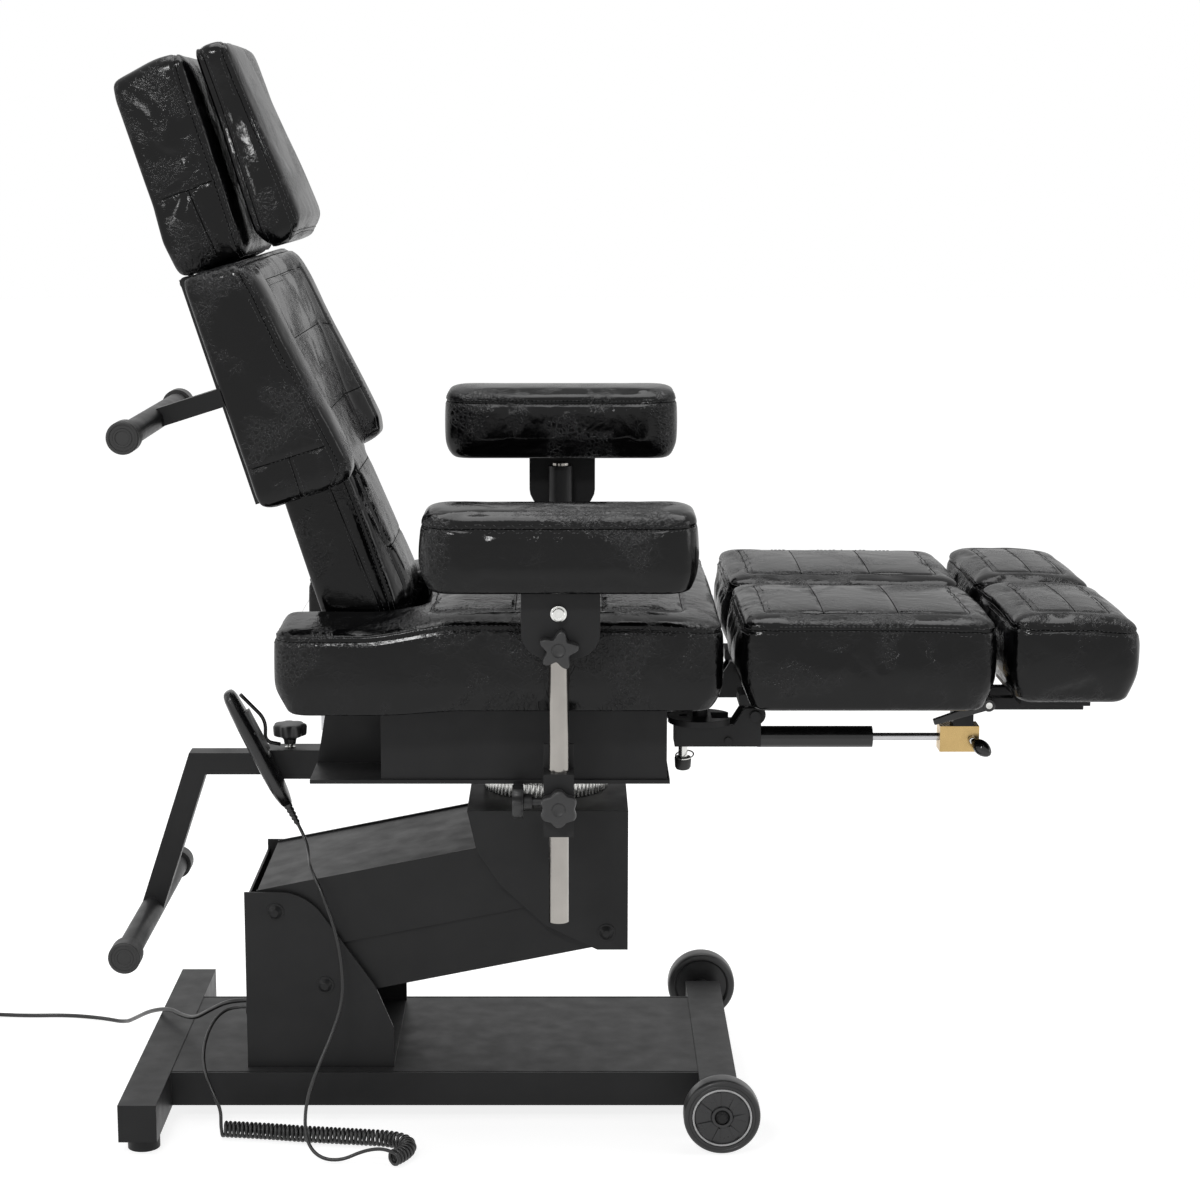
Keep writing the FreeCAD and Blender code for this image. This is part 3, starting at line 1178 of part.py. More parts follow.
# A star knob that screws in along Y from outside: five lobes round a hub.
def star_knob(name, x, z, y, side, tip):
    hub = round_bar(name + "_hub", FLOOR, "Y", x, y_span(side, y, "knob_high"), z, "star_radius * 0.62", "knob_high")
    pieces = [hub]
    for lobe in range(5):
        turn = f"{lobe} * 72 + 90"
        pieces.append(round_bar(f"{name}_lobe_{lobe}", FLOOR, "Y", f"({x}) + star_radius * 0.68 * cos({turn})",
                                y_span(side, y, "knob_high * 0.8"), f"({z}) + star_radius * 0.68 * sin({turn})",
                                "star_radius * 0.32", "knob_high * 0.8"))
    pieces.append(round_bar(name + "_screw", FLOOR, "Y", x, y_span(side, f"({y}) - ({tip})", tip), z, "screw_shank", tip))
    return fuse(name, pieces)


# One armrest: sliding bar with its post block, post, tilting bracket, pad and three clamp knobs.
def make_armrest(label, side, lift):
    bar_low = f"box_low - guide_wall - seat_gap - bar_side"
    bar = box("arm_bar_blank_" + label, FLOOR, "post_x - bar_side / 2", y_span(side, "bar_inner", "post_y - bar_inner"),
              bar_low, "bar_side", "post_y - bar_inner", "bar_side")
    block = box("arm_block_blank_" + label, FLOOR, "post_x - block_side / 2", y_span(side, "post_y - block_side / 2", "block_side"),
                "block_low", "block_side", "block_side", "block_top - block_low")
    plate = box("arm_block_plate_" + label, FLOOR, "post_x - block_side / 2", y_span(side, "post_y - block_side / 2", "plate_thick"),
                "block_low", "block_side", "plate_thick", "block_plate_top - block_low")
    bore = round_bar("arm_block_bore_" + label, FLOOR, "Z", "post_x", f"{side} * post_y", "block_low - overrun",
                     "post_radius + turn_play", "block_plate_top - block_low + 2 * overrun")
    screw = round_bar("arm_block_screw_" + label, FLOOR, "Y", "post_x", y_span(side, "post_y", "block_side"), "lower_star_z",
                      "screw_shank + turn_play", "block_side")
    node("arm_slider_" + label, [cut("arm_slider_drilled_" + label, fuse("arm_slider_" + label + "_welded", [bar, block, plate]),
                                     [bore, screw])])
    knob_y = "post_y + block_side / 2 + seat_gap"
    node("post_knob_" + label, [star_knob("post_star_" + label, "post_x", "lower_star_z", knob_y, side,
                                          "block_side / 2 - post_radius")])
    knob_z = f"box_low - {GUIDE_SIDE} / 2"
    knob_mid = f"{side} * bar_knob_y"
    face = f"post_x - {GUIDE_SIDE} / 2"
    head = round_bar("bar_knob_head_" + label, FLOOR, "X", f"{face} - seat_gap - bar_knob_x - knob_high * 0.8", knob_mid, knob_z,
                     "knob_radius", "knob_high * 0.8")
    shank = round_bar("bar_knob_shank_" + label, FLOOR, "X", f"{face} - seat_gap - bar_knob_x", knob_mid, knob_z, "screw_shank",
                      "bar_knob_x + guide_wall + seat_gap")
    node("bar_knob_" + label, [fuse("bar_knob_turned_" + label, [head, shank])])

    up = f"({lift})"
    node("arm_post_" + label, [round_bar("arm_post_bar_" + label, FLOOR, "Z", "post_x", f"{side} * post_y", f"post_low + {up}",
                                         "post_radius", "pad_low - seat_gap - post_low - 3 * overrun")])
    collar = round_bar("arm_collar_" + label, FLOOR, "Z", "post_x", f"{side} * post_y", f"collar_low + {up}", "collar_radius",
                       "collar_high - collar_low")
    bolt = round_bar("arm_tilt_bolt_" + label, FLOOR, "Y", "post_x",
                     y_span(side, "post_y + post_radius + plate_thick / 4", "collar_radius - post_radius + plate_thick * 3"),
                     f"pad_pivot_z + {up}", "pad_pivot_radius", "collar_radius - post_radius + plate_thick * 3")
    bore = round_bar("arm_collar_bore_" + label, FLOOR, "Z", "post_x", f"{side} * post_y", f"collar_low - overrun + {up}",
                     "post_radius + turn_play", "collar_high - collar_low + 2 * overrun")
    screw = round_bar("arm_collar_screw_" + label, FLOOR, "Y", "post_x", y_span(side, "post_y", "block_side"),
                      f"upper_star_z + {up}", "screw_shank + turn_play", "block_side")
    node("arm_bracket_" + label, [cut("arm_bracket_drilled_" + label, fuse("arm_bracket_welded_" + label, [collar, bolt]),
                                      [bore, screw])])
    node("bracket_knob_" + label, [star_knob("bracket_star_" + label, "post_x", f"upper_star_z + {up}",
                                             "post_y + collar_radius + plate_thick + 2 * seat_gap", side,
                                             "collar_radius - post_radius + plate_thick + 2 * seat_gap")])
    crown = worth("pad_crown")
    middle = side * (worth("pad_inner") + worth("pad_wide") / 2)
    half = worth("pad_wide") / 2 - crown * 0.35
    rise = worth(lift)
    shape = cushion("X", -worth("pad_rear"), worth("pad_front"), middle,
                    [(0, half, worth("pad_top") + rise), (0.5, half, worth("pad_top") + rise), (1, half, worth("pad_top") + rise)],
                    worth("pad_low") + rise, worth("pad_round"), crown)
    pad = formed("armrest_pad_" + label, shape, FLOOR.placement())
    plate_y = "post_y + collar_radius + seat_gap"
    outline = [("-plate_rear", f"plate_low + {up}"), ("plate_front", f"plate_low + {up}"),
               ("plate_front", f"pad_low - seat_gap + {up}"), ("-plate_rear", f"pad_low - seat_gap + {up}")]
    plate = side_plate("pad_plate_blank_" + label, FLOOR, outline, y_span(side, plate_y, "plate_thick"), "plate_thick",
                       {0: "overrun * 3", 1: "overrun * 3"})
    pivot = round_bar("pad_pivot_hole_" + label, FLOOR, "Y", "post_x", y_span(side, "post_y", "block_side * 2"),
                      f"pad_pivot_z + {up}", "pad_pivot_radius + turn_play", "block_side * 2")
    swing = "(pad_pivot_z - upper_star_z) * sin(pad_tilt) + screw_shank + seat_gap"
    slot = box("pad_slot_" + label, FLOOR, f"post_x - ({swing})", y_span(side, "post_y", "block_side * 2"),
               f"upper_star_z - screw_shank - seat_gap + {up}", f"2 * ({swing})", "block_side * 2",
               "(pad_pivot_z - upper_star_z) * (1 - cos(pad_tilt)) + 2 * screw_shank + 3 * seat_gap")
    plate = cut("pad_plate_" + label, plate, [pivot, slot])
    node("armrest_" + label, [pad, plate])


# The hand control in its wire holder at the foot bar's knob.
def make_handset():
    hand = Stand("-handset_x", "handset_z", "-90 + handset_tilt")
    body = box("handset_shell", hand, "0", "-handset_y - handset_wide / 2", "-handset_thick", "handset_long", "handset_wide",
               "handset_thick")
    well = box("handset_well", hand, "handset_long * 0.2", "-handset_y - key_wide / 2 - seat_gap",
               "-rock_pin_deep - rock_pin - seat_gap", "key_long", "key_wide + 2 * seat_gap",
               "rock_pin_deep + rock_pin + 2 * seat_gap")
    pin_x = "handset_long * 0.2 + key_long / 2"
    pin_y = "-handset_y - key_wide / 2 - key_high"
    pin_hole = round_bar("rock_pin_hole", hand, "Y", pin_x, pin_y, "-rock_pin_deep", "rock_pin + turn_play",
                         "key_wide + 2 * key_high")
    relief = round_bar("handset_relief", hand, "X", "handset_long", "-handset_y", "-handset_thick / 2", "relief_radius",
                       "relief_long")
    node("handset", [cut("handset_cut", body, [well, pin_hole]), relief])
    key = box("rocker_key", hand, "handset_long * 0.2 + seat_gap", "-handset_y - key_wide / 2", "-rock_pin_deep",
              "key_long - 2 * seat_gap", "key_wide", "key_high")
    pin = round_bar("rocker_pin", hand, "Y", pin_x, pin_y, "-rock_pin_deep", "rock_pin", "key_wide + 2 * key_high")
    node("handset_rocker", [fuse("rocker", [key, pin])])
    foot_z = f"{STEP_Z} + step_side / 2 + sleeve_wall + 2 * wire_radius + overrun * 0.2"
    tip = hand.placement().multVec(Vector(worth("hook_grip"), -worth("handset_y"), worth("wire_radius + seat_gap")))
    points = [Vector(-worth(f"step_knob_x + {reach}"), -worth(side), worth(f"{foot_z} + {rise}")) for reach, side, rise in (
        ("hook_start", "overrun * 1.2", "0"), ("hook_knee", "handset_y / 3", "overrun * 1.2"),
        ("hook_over", "handset_y / 2", "hook_rise"))]
    wire = smooth_route(points + [tip - Vector(worth("swivel_x"), 0, 0)])
    node("handset_holder", [formed("handset_wire", tube(wire, worth("wire_radius")), FLOOR.placement())])


def route_points(label):
    return [Vector(*point) for point in ROUTES[label]]


# An arc that touches both legs of a corner; the legs are equally long.
def corner_arc(first, corner, last):
    middle = (first + last) / 2
    inward = middle - corner
    half_turn = (corner - first).getAngle(last - corner) / 2
    sag = (first - corner).Length / math.tan(half_turn) * (1 / math.cos(half_turn) - 1)
    return Part.Arc(first, corner + inward.normalize() * sag, last).toShape()


# A path of straight runs joined by tangent arcs, each arc as large as its two runs allow.
def smooth_route(points, report=None):
    edges = []
    radii = []
    here = points[0]
    for before, point, after in zip(points, points[1:], points[2:]):
        come = point - before
        leave = after - point
        reach = BEND_SHARE * min(come.Length, leave.Length)
        radii.append(reach / math.tan(come.getAngle(leave) / 2))
        first = point - come.normalize() * reach
        last = point + leave.normalize() * reach
        edges.append(Part.LineSegment(here, first).toShape())
        edges.append(corner_arc(first, point, last))
        here = last
    edges.append(Part.LineSegment(here, points[-1]).toShape())
    if report:
        print(report, "bend radii", [round(radius, 1) for radius in radii])
    return edges


# Two arcs that join two points and keep to both headings.
def biarc(first, start_heading, last, end_heading):
    gap = last - first
    both = start_heading + end_heading
    spread = 2 * (1 - start_heading.dot(end_heading))
    reach = (math.sqrt(gap.dot(both) ** 2 + spread * gap.dot(gap)) - gap.dot(both)) / spread
    near_corner = first + start_heading * reach
    far_corner = last - end_heading * reach
    middle = (near_corner + far_corner) / 2
    return [corner_arc(first, near_corner, middle), corner_arc(middle, far_corner, last)]


# Windings round a level path, from over its start to beside its end, in arcs.
# Gives the arcs and the points and headings of both ends.
def curl_windings(path, radius, pitch, strand):
    wire = Part.Wire(path)
    count = int(wire.Length)
    spots = wire.discretize(Number=count + 1)
    step = wire.Length / count
    headings = []
    for number in range(count + 1):
        ahead = spots[min(number + 1, count)] - spots[max(number - 1, 0)]
        headings.append(ahead.normalize())
    window = int(radius)
    phase = [0.0]
    for number in range(count):
        low = max(number - window, 0)
        high = min(number + window, count)
        bend = headings[low].getAngle(headings[high]) / ((high - low) * step)
        phase.append(phase[-1] + step * (1 - radius * bend) / pitch)
    turns = int(phase[-1]) + 0.75
    phase = [value * turns / phase[-1] for value in phase]

    def spot(turn):
        number = 0
        low, high = 0, count
        while high - low > 1:
            number = (low + high) // 2
            if phase[number] <= turn:
                low = number
            else:
                high = number
        share = (turn - phase[low]) / (phase[high] - phase[low])
        centre = spots[low] + (spots[high] - spots[low]) * share
        heading = headings[low] + (headings[high] - headings[low]) * share
        side = Vector(0, 0, 1).cross(heading).normalize()
        angle = 2 * math.pi * turn
        return centre + Vector(0, 0, radius * math.cos(angle)) - side * (radius * math.sin(angle))

    halves = [number / 2 for number in range(int(2 * turns) + 1)] + [turns]
    points = [spot(turn) for turn in halves]
    heads = []
    for turn in halves:
        low = max(turn - CURL_STEP_SHARE, 0)
        high = min(turn + CURL_STEP_SHARE, turns)
        heads.append((spot(high) - spot(low)).normalize())
    edges = []
    for number in range(len(halves) - 1):
        edges += biarc(points[number], heads[number], points[number + 1], heads[number + 1])
    return edges, (points[0], heads[0]), (points[-1], heads[-1]), turns


# Windings up a standing coil, in half turns of two arcs each.
def coil_windings(start, heading, radius, pitch, turns):
    side = Vector(0, 0, 1).cross(heading)
    centre = start + side * radius
    rise = Vector(0, 0, pitch)

    def at(turn):
        angle = 2 * math.pi * turn
        place = centre - side * (radius * math.cos(angle)) + heading * (radius * math.sin(angle)) + rise * turn
        way = heading * math.cos(angle) + side * math.sin(angle) + rise / (2 * math.pi * radius)
        return place, way.normalize()

    edges = []
    for number in range(int(2 * turns)):
        edges += biarc(*at(number / 2), *at(number / 2 + 0.5))
    return edges, at(turns)


def tube(edges, radius):
    wire = Part.Wire(edges)
    first = wire.Edges[0]
    start = first.valueAt(first.FirstParameter)
    ring = Part.Wire(Part.Circle(start, first.tangentAt(first.FirstParameter), radius).toShape())
    shell = Part.BRepOffsetAPI.MakePipeShell(wire)
    shell.add(ring)
    shell.build()
    shell.makeSolid()
    return shell.shape()


# Prints a cord's length, how full its tube is and the least gap between its own strands.
def report_cord(label, edges, solid, radius):
    length = sum(edge.Length for edge in edges)
    spots = []
    for edge in edges:
        count = max(int(edge.Length / radius), 1)
        span = (edge.LastParameter - edge.FirstParameter) / count
        spots += [edge.valueAt(edge.FirstParameter + span * number) for number in range(count)]
    skip = 8
    least = min((spots[number] - other).Length
                for number in range(len(spots)) for other in spots[number + skip:])
    print(label, "length", round(length), "tube share", round(solid.Volume / (length * math.pi * radius ** 2), 3),
          "least gap to itself", round(least - 2 * radius, 2))


# Glands in the rear plate, the mains lead with its coil and plug, and the hand control's curly cord.
def make_cords():
    glands = []
    for number in range(2):
        y = f"-cable_hole_y + {number} * cable_hole_pitch"
        neck = round_bar(f"gland_neck_{number}", FLOOR, "X", "-column_rear - gland_long / 2", y, "cable_hole_z", "cable_hole",
                         "gland_long")
        flange = round_bar(f"gland_flange_{number}", FLOOR, "X", "-column_rear - gland_long / 2", y, "cable_hole_z",
                           "cable_hole + plate_wall / 2", "gland_long / 2")
        glands.append(fuse(f"gland_{number}", [neck, flange]))
    node("cord_glands", glands)
    exit_x = -worth("column_rear + gland_long / 2")
    mains_y = -worth("cable_hole_y - cable_hole_pitch")
    gland = Vector(exit_x, mains_y, 0)
    radius = worth("cord_radius")
    points = [gland + Vector(0, 0, worth("cable_hole_z"))] + [gland + point for point in route_points("mains")]
    lead = smooth_route(points, "mains lead")
    solid = tube(lead, radius)
    report_cord("mains lead", lead, solid, radius)
    node("mains_cord", [formed("mains_tube", solid, FLOOR.placement())])
    end = points[-1]
    heading = (end - points[-2]).normalize()
    turns, (top, way) = coil_windings(end, heading, worth("coil_turn_radius"), worth("2 * cord_radius + 2 * seat_gap"),
                                      worth("coil_turns"))
    floor_spot = Vector(end.x, end.y, 0)
    tail_points = [top, top + way * worth("4 * cord_radius")] + [floor_spot + point for point in route_points("tail")]
    tail = smooth_route(tail_points, "mains tail")
    solid = tube(turns + tail, radius)
    report_cord("mains coil", turns + tail, solid, radius)
    node("mains_coil", [formed("mains_coil_windings", solid, FLOOR.placement())])
    socket = tail_points[-1]
    plug = Part.makeBox(worth("plug_long"), worth("plug_wide"), worth("plug_thick"),
                        Vector(socket.x - worth("plug_long"), socket.y - worth("plug_wide / 2"), socket.z - worth("plug_thick / 2")))
    pins = [Part.makeCylinder(worth("pin_radius"), worth("pin_long"),
                              Vector(socket.x - worth("plug_long + pin_long"), socket.y + place * worth("pin_apart / 2"), socket.z),
                              Vector(1, 0, 0)) for place in (-1, 1)]
    node("mains_plug", [formed("plug_body", plug.multiFuse(pins), FLOOR.placement())])

    hand = Stand("-handset_x", "handset_z", "-90 + handset_tilt").placement()
    start = hand.multVec(Vector(worth("handset_long + relief_long"), -worth("handset_y"), -worth("handset_thick / 2")))
    start = start - Vector(worth("swivel_x"), 0, 0)
    heading = hand.Rotation.multVec(Vector(1, 0, 0))
    strand = worth("lead_radius")
    level_path = smooth_route(route_points("curl"))
    curls, (first, first_way), (last, last_way), count = curl_windings(
        level_path, worth("curl_radius - lead_radius"), worth("curl_pitch"), strand)
    hang_points = [start, start + heading * worth("10 * lead_radius")] + route_points("hang")
    hang_points += [first - first_way * worth("8 * lead_radius"), first]
    climb_points = [last, last + last_way * worth("4 * lead_radius")] + route_points("climb")
    climb_points.append(Vector(exit_x, -worth("cable_hole_y"), worth("cable_hole_z")))
    cord = smooth_route(hang_points, "hand control lead") + curls + smooth_route(climb_points, "return lead")
    solid = tube(cord, strand)
    report_cord("hand control cord", cord, solid, strand)
    print("curls", count)
    node("handset_cord", [formed("handset_cord_tube", solid, FLOOR.placement())])


make_base()
make_wheels()
make_column()
make_arms()
make_carriage()
make_drive()
make_seat_box()
make_step()
make_seat_cushion()
make_back()
make_back_spring()
make_head()
for name, direction in SIDES:
    make_leg(name, direction)
make_armrest("near", -1, "0")
make_armrest("far", 1, "far_lift")
make_handset()
make_cords()
doc.recompute()

for item in doc.Objects:
    if "Invalid" in item.State or "Error" in item.State:
        raise RuntimeError("failed: " + item.Name + " " + str(item.State))
for name, item in NODES.items():
    if item.Shape.isNull() or not item.Shape.isValid():
        raise RuntimeError("bad shape: " + name)
os.makedirs("parts", exist_ok=True)
for name, item in NODES.items():
    item.Shape.exportStep("parts/" + name + ".step")
print(len(NODES), "nodes")
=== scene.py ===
# %% [markdown]
# # An electric tattoo chair
# Lengths are metres. +X is the foot end, +Z is up, and the origin is on the floor under the middle of the
# chair. The plain frame is loaded first. Each cell then adds one kind of piece: camera, cords, finishes,
# cushions, wheels, knobs and small fittings, and last the light.

# %% Load the frame
import math
import bmesh
import bpy
import numpy as np
from mathutils import Matrix, Vector
from mathutils.bvhtree import BVHTree
from mathutils.kdtree import KDTree


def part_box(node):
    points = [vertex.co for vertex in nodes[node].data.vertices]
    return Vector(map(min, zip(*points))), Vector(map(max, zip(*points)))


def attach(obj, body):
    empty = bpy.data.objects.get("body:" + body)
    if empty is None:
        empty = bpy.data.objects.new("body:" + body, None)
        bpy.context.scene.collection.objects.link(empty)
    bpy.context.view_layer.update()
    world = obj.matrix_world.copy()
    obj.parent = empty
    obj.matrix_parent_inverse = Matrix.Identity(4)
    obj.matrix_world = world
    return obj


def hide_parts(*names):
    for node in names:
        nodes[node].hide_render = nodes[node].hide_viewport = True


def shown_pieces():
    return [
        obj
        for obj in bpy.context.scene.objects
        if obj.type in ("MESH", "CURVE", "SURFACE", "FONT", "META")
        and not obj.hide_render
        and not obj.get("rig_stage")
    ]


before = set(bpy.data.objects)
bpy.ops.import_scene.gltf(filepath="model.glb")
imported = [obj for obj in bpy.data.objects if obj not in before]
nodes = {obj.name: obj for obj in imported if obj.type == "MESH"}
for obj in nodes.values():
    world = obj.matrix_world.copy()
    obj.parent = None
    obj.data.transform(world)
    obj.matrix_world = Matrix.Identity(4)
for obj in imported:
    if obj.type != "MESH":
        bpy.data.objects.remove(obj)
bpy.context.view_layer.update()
scene = bpy.context.scene
SIDES = (("near", -1), ("far", 1))
print("frame", len(nodes), "nodes")

# %% [markdown]
# ## Camera
# A chair like this is photographed from the side with a long lens, so its upright edges stay upright. The
# lens and the height could be guessed, but straight edges of the base and the two wheels give them more
# surely. The camera looks along +Y, tipped down by ten degrees.

# %% Camera
CAMERA_PLACE = (-0.046, -3.305, 1.267)
CAMERA_TIP = math.radians(10.04)
SENSOR_MM, LENS_MM, SHIFT = 36, 74.16, 0.025
bpy.ops.object.camera_add(location=CAMERA_PLACE, rotation=(math.pi / 2 - CAMERA_TIP, 0, 0))
camera = bpy.context.object
camera.name = "camera"
camera.data.sensor_width = SENSOR_MM
camera.data.lens = LENS_MM
camera.data.shift_x = SHIFT
scene.camera = camera
print("camera at", tuple(camera.location))

# %% [markdown]
# ## Cords
# The chair has a mains lead and a curled cord to its hand control. A cord could be a chain of short tubes,
# but one smooth NURBS line through its route bends the way rubber does. The line keeps to order 3, which
# is set after its points. Curls and coils are points of the same line, worked out along a level path.

# %% Routes
MAINS_RADIUS = 0.003
MAINS = [(-0.4845, -0.072, 0.139), (-0.5105, -0.072, 0.139), (-0.5425, -0.042, 0.115),
         (-0.5685, -0.01, 0.091), (-0.5925, 0.026, 0.082), (-0.6165, 0.062, 0.08),
         (-0.6505, 0.104, 0.062), (-0.6805, 0.154, 0.034), (-0.7065, 0.204, 0.008),
         (-0.7465, 0.236, 0.0035), (-0.8025, 0.25, 0.0032), (-0.8625, 0.246, 0.0035),
         (-0.9205, 0.254, 0.0032), (-0.9685, 0.254, 0.0032)]
TAIL = [(-0.9805, 0.254, 0.0432), (-1.0265, 0.251, 0.037), (-1.0605, 0.244, 0.016), (-1.0925, 0.241, 0.0103),
        (-1.1145, 0.241, 0.0103)]
COIL_CENTRE = (-0.9685, 0.221, 0.0032)
COIL_RADIUS = 0.0338
COIL_PITCH = 0.0066
COIL_TURNS = 6
HAND_RADIUS = 0.0023
HANG = [(-0.4158, -0.046, 0.3797), (-0.4056, -0.046, 0.3591), (-0.3985, -0.074, 0.345),
        (-0.394, -0.112, 0.34), (-0.379, -0.147, 0.325), (-0.357, -0.156, 0.266), (-0.348, -0.164, 0.218),
        (-0.347, -0.174, 0.172), (-0.361, -0.194, 0.132), (-0.377, -0.216, 0.098),
        (-0.389, -0.244, 0.066), (-0.39, -0.272, 0.038), (-0.382, -0.292, 0.017), (-0.364, -0.301, 0.005),
        (-0.339, -0.302, 0.004), (-0.313, -0.296, 0.014), (-0.2885, -0.3041, 0.0214)]
CURL_PATH = [(-0.273, -0.314, 0.0116), (-0.25, -0.285, 0.0116), (-0.265, -0.251, 0.0116),
             (-0.335, -0.241, 0.0116), (-0.397, -0.233, 0.0116), (-0.451, -0.222, 0.0116),
             (-0.503, -0.216, 0.0116)]
CURL_RADIUS = 0.0091
CURL_PITCH = 0.0056
CLIMB = [(-0.505, -0.2251, 0.0207), (-0.505, -0.221, 0.04), (-0.517, -0.212, 0.062), (-0.529, -0.194, 0.082),
         (-0.535, -0.168, 0.098), (-0.533, -0.14, 0.116), (-0.523, -0.116, 0.132), (-0.505, -0.098, 0.139),
         (-0.4845, -0.098, 0.139)]


# %% Tools for cords
def nurbs(name, points, radius):
    """One open NURBS line of order 3, with a round section. Its points carry the radius, so its box fits."""
    curve = bpy.data.curves.new(name, "CURVE")
    curve.dimensions = "3D"
    spline = curve.splines.new("NURBS")
    spline.points.add(len(points) - 1)
    for point, place in zip(spline.points, points):
        point.co = (*place, 1)
        point.radius = radius
    spline.order_u = 3
    spline.use_endpoint_u = True
    curve.resolution_u = 6
    curve.bevel_depth = 1.0 if radius else 0.0
    curve.bevel_resolution = 3
    curve.use_fill_caps = True
    piece = bpy.data.objects.new(name, curve)
    scene.collection.objects.link(piece)
    return piece


def line_points(path):
    """Points of a NURBS route, close together."""
    probe = nurbs("probe", path, 0)
    probe.data.resolution_u = 24
    bpy.context.view_layer.update()
    mesh = bpy.data.meshes.new_from_object(probe)
    points = [vertex.co.copy() for vertex in mesh.vertices]
    bpy.data.objects.remove(probe)
    return points


def runs_along(points):
    """The length from the start to each point."""
    runs = [0.0]
    for first, last in zip(points, points[1:]):
        runs.append(runs[-1] + (last - first).length)
    return runs


def curls(path, radius, pitch, stride=0.001, window=9, per_turn=12):
    """Points of curls round a level path. They start on its top, end beside it and lie apart in bends."""
    spots = line_points(path)
    runs = runs_along(spots)
    count = int(runs[-1] / stride)
    even = []
    for number in range(count + 1):
        along = runs[-1] * number / count
        index = max(min(int(np.searchsorted(runs, along)), len(runs) - 1), 1)
        even.append(spots[index - 1].lerp(spots[index], (along - runs[index - 1]) /
                                          (runs[index] - runs[index - 1])))
    ways = [(even[min(n + 1, count)] - even[max(n - 1, 0)]).normalized() for n in range(count + 1)]
    phase = [0.0]
    for number in range(count):
        low, high = max(number - window, 0), min(number + window, count)
        bend = ways[low].angle(ways[high]) / ((high - low) * stride)
        phase.append(phase[-1] + stride * (1 - radius * bend) / pitch)
    turns = int(phase[-1]) + 0.75
    phase = [value * turns / phase[-1] for value in phase]
    points = []
    for step in range(int(turns * per_turn) + 1):
        turn = step / per_turn
        index = min(int(np.searchsorted(phase, turn)), count)
        side = Vector((0, 0, 1)).cross(ways[index]).normalized()
        angle = 2 * math.pi * turn
        lift = Vector((0, 0, radius * math.cos(angle)))
        points.append(tuple(even[index] + lift - side * (radius * math.sin(angle))))
    return points


def coil(centre, radius, pitch, turns, per_turn=14):
    """Points of a standing coil that starts towards -X at its far side and winds up."""
    points = []
    for step in range(1, int(turns * per_turn) + 1):
        turn = step / per_turn
        angle = 2 * math.pi * turn
        points.append((centre[0] - radius * math.sin(angle), centre[1] + radius * math.cos(angle),
                       centre[2] + pitch * turn))
    return points


# %% The two cords
mains_points = MAINS + coil(COIL_CENTRE, COIL_RADIUS, COIL_PITCH, COIL_TURNS)[1:] + TAIL
mains = nurbs("mains_lead", mains_points, MAINS_RADIUS)
mains_long = runs_along(line_points(mains_points))[-1]
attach(mains, "base")
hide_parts("mains_cord", "mains_coil")
hand_points = HANG + curls(CURL_PATH, CURL_RADIUS, CURL_PITCH)[1:] + CLIMB
hand_cord = nurbs("hand_control_cord", hand_points, HAND_RADIUS)
hand_long = runs_along(line_points(hand_points))[-1]
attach(hand_cord, "base")
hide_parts("handset_cord")
print("mains lead", round(mains_long, 3), "hand control cord", round(hand_long, 3))

# %% [markdown]
# ## Finishes
# The steel is powder coated, the cushions are creased leatherette, and the posts and rods are bright
# metal. Painted pictures could give these surfaces their grain, but node patterns on the object's own
# coordinates stay sharp at any distance and never slide when a piece moves.


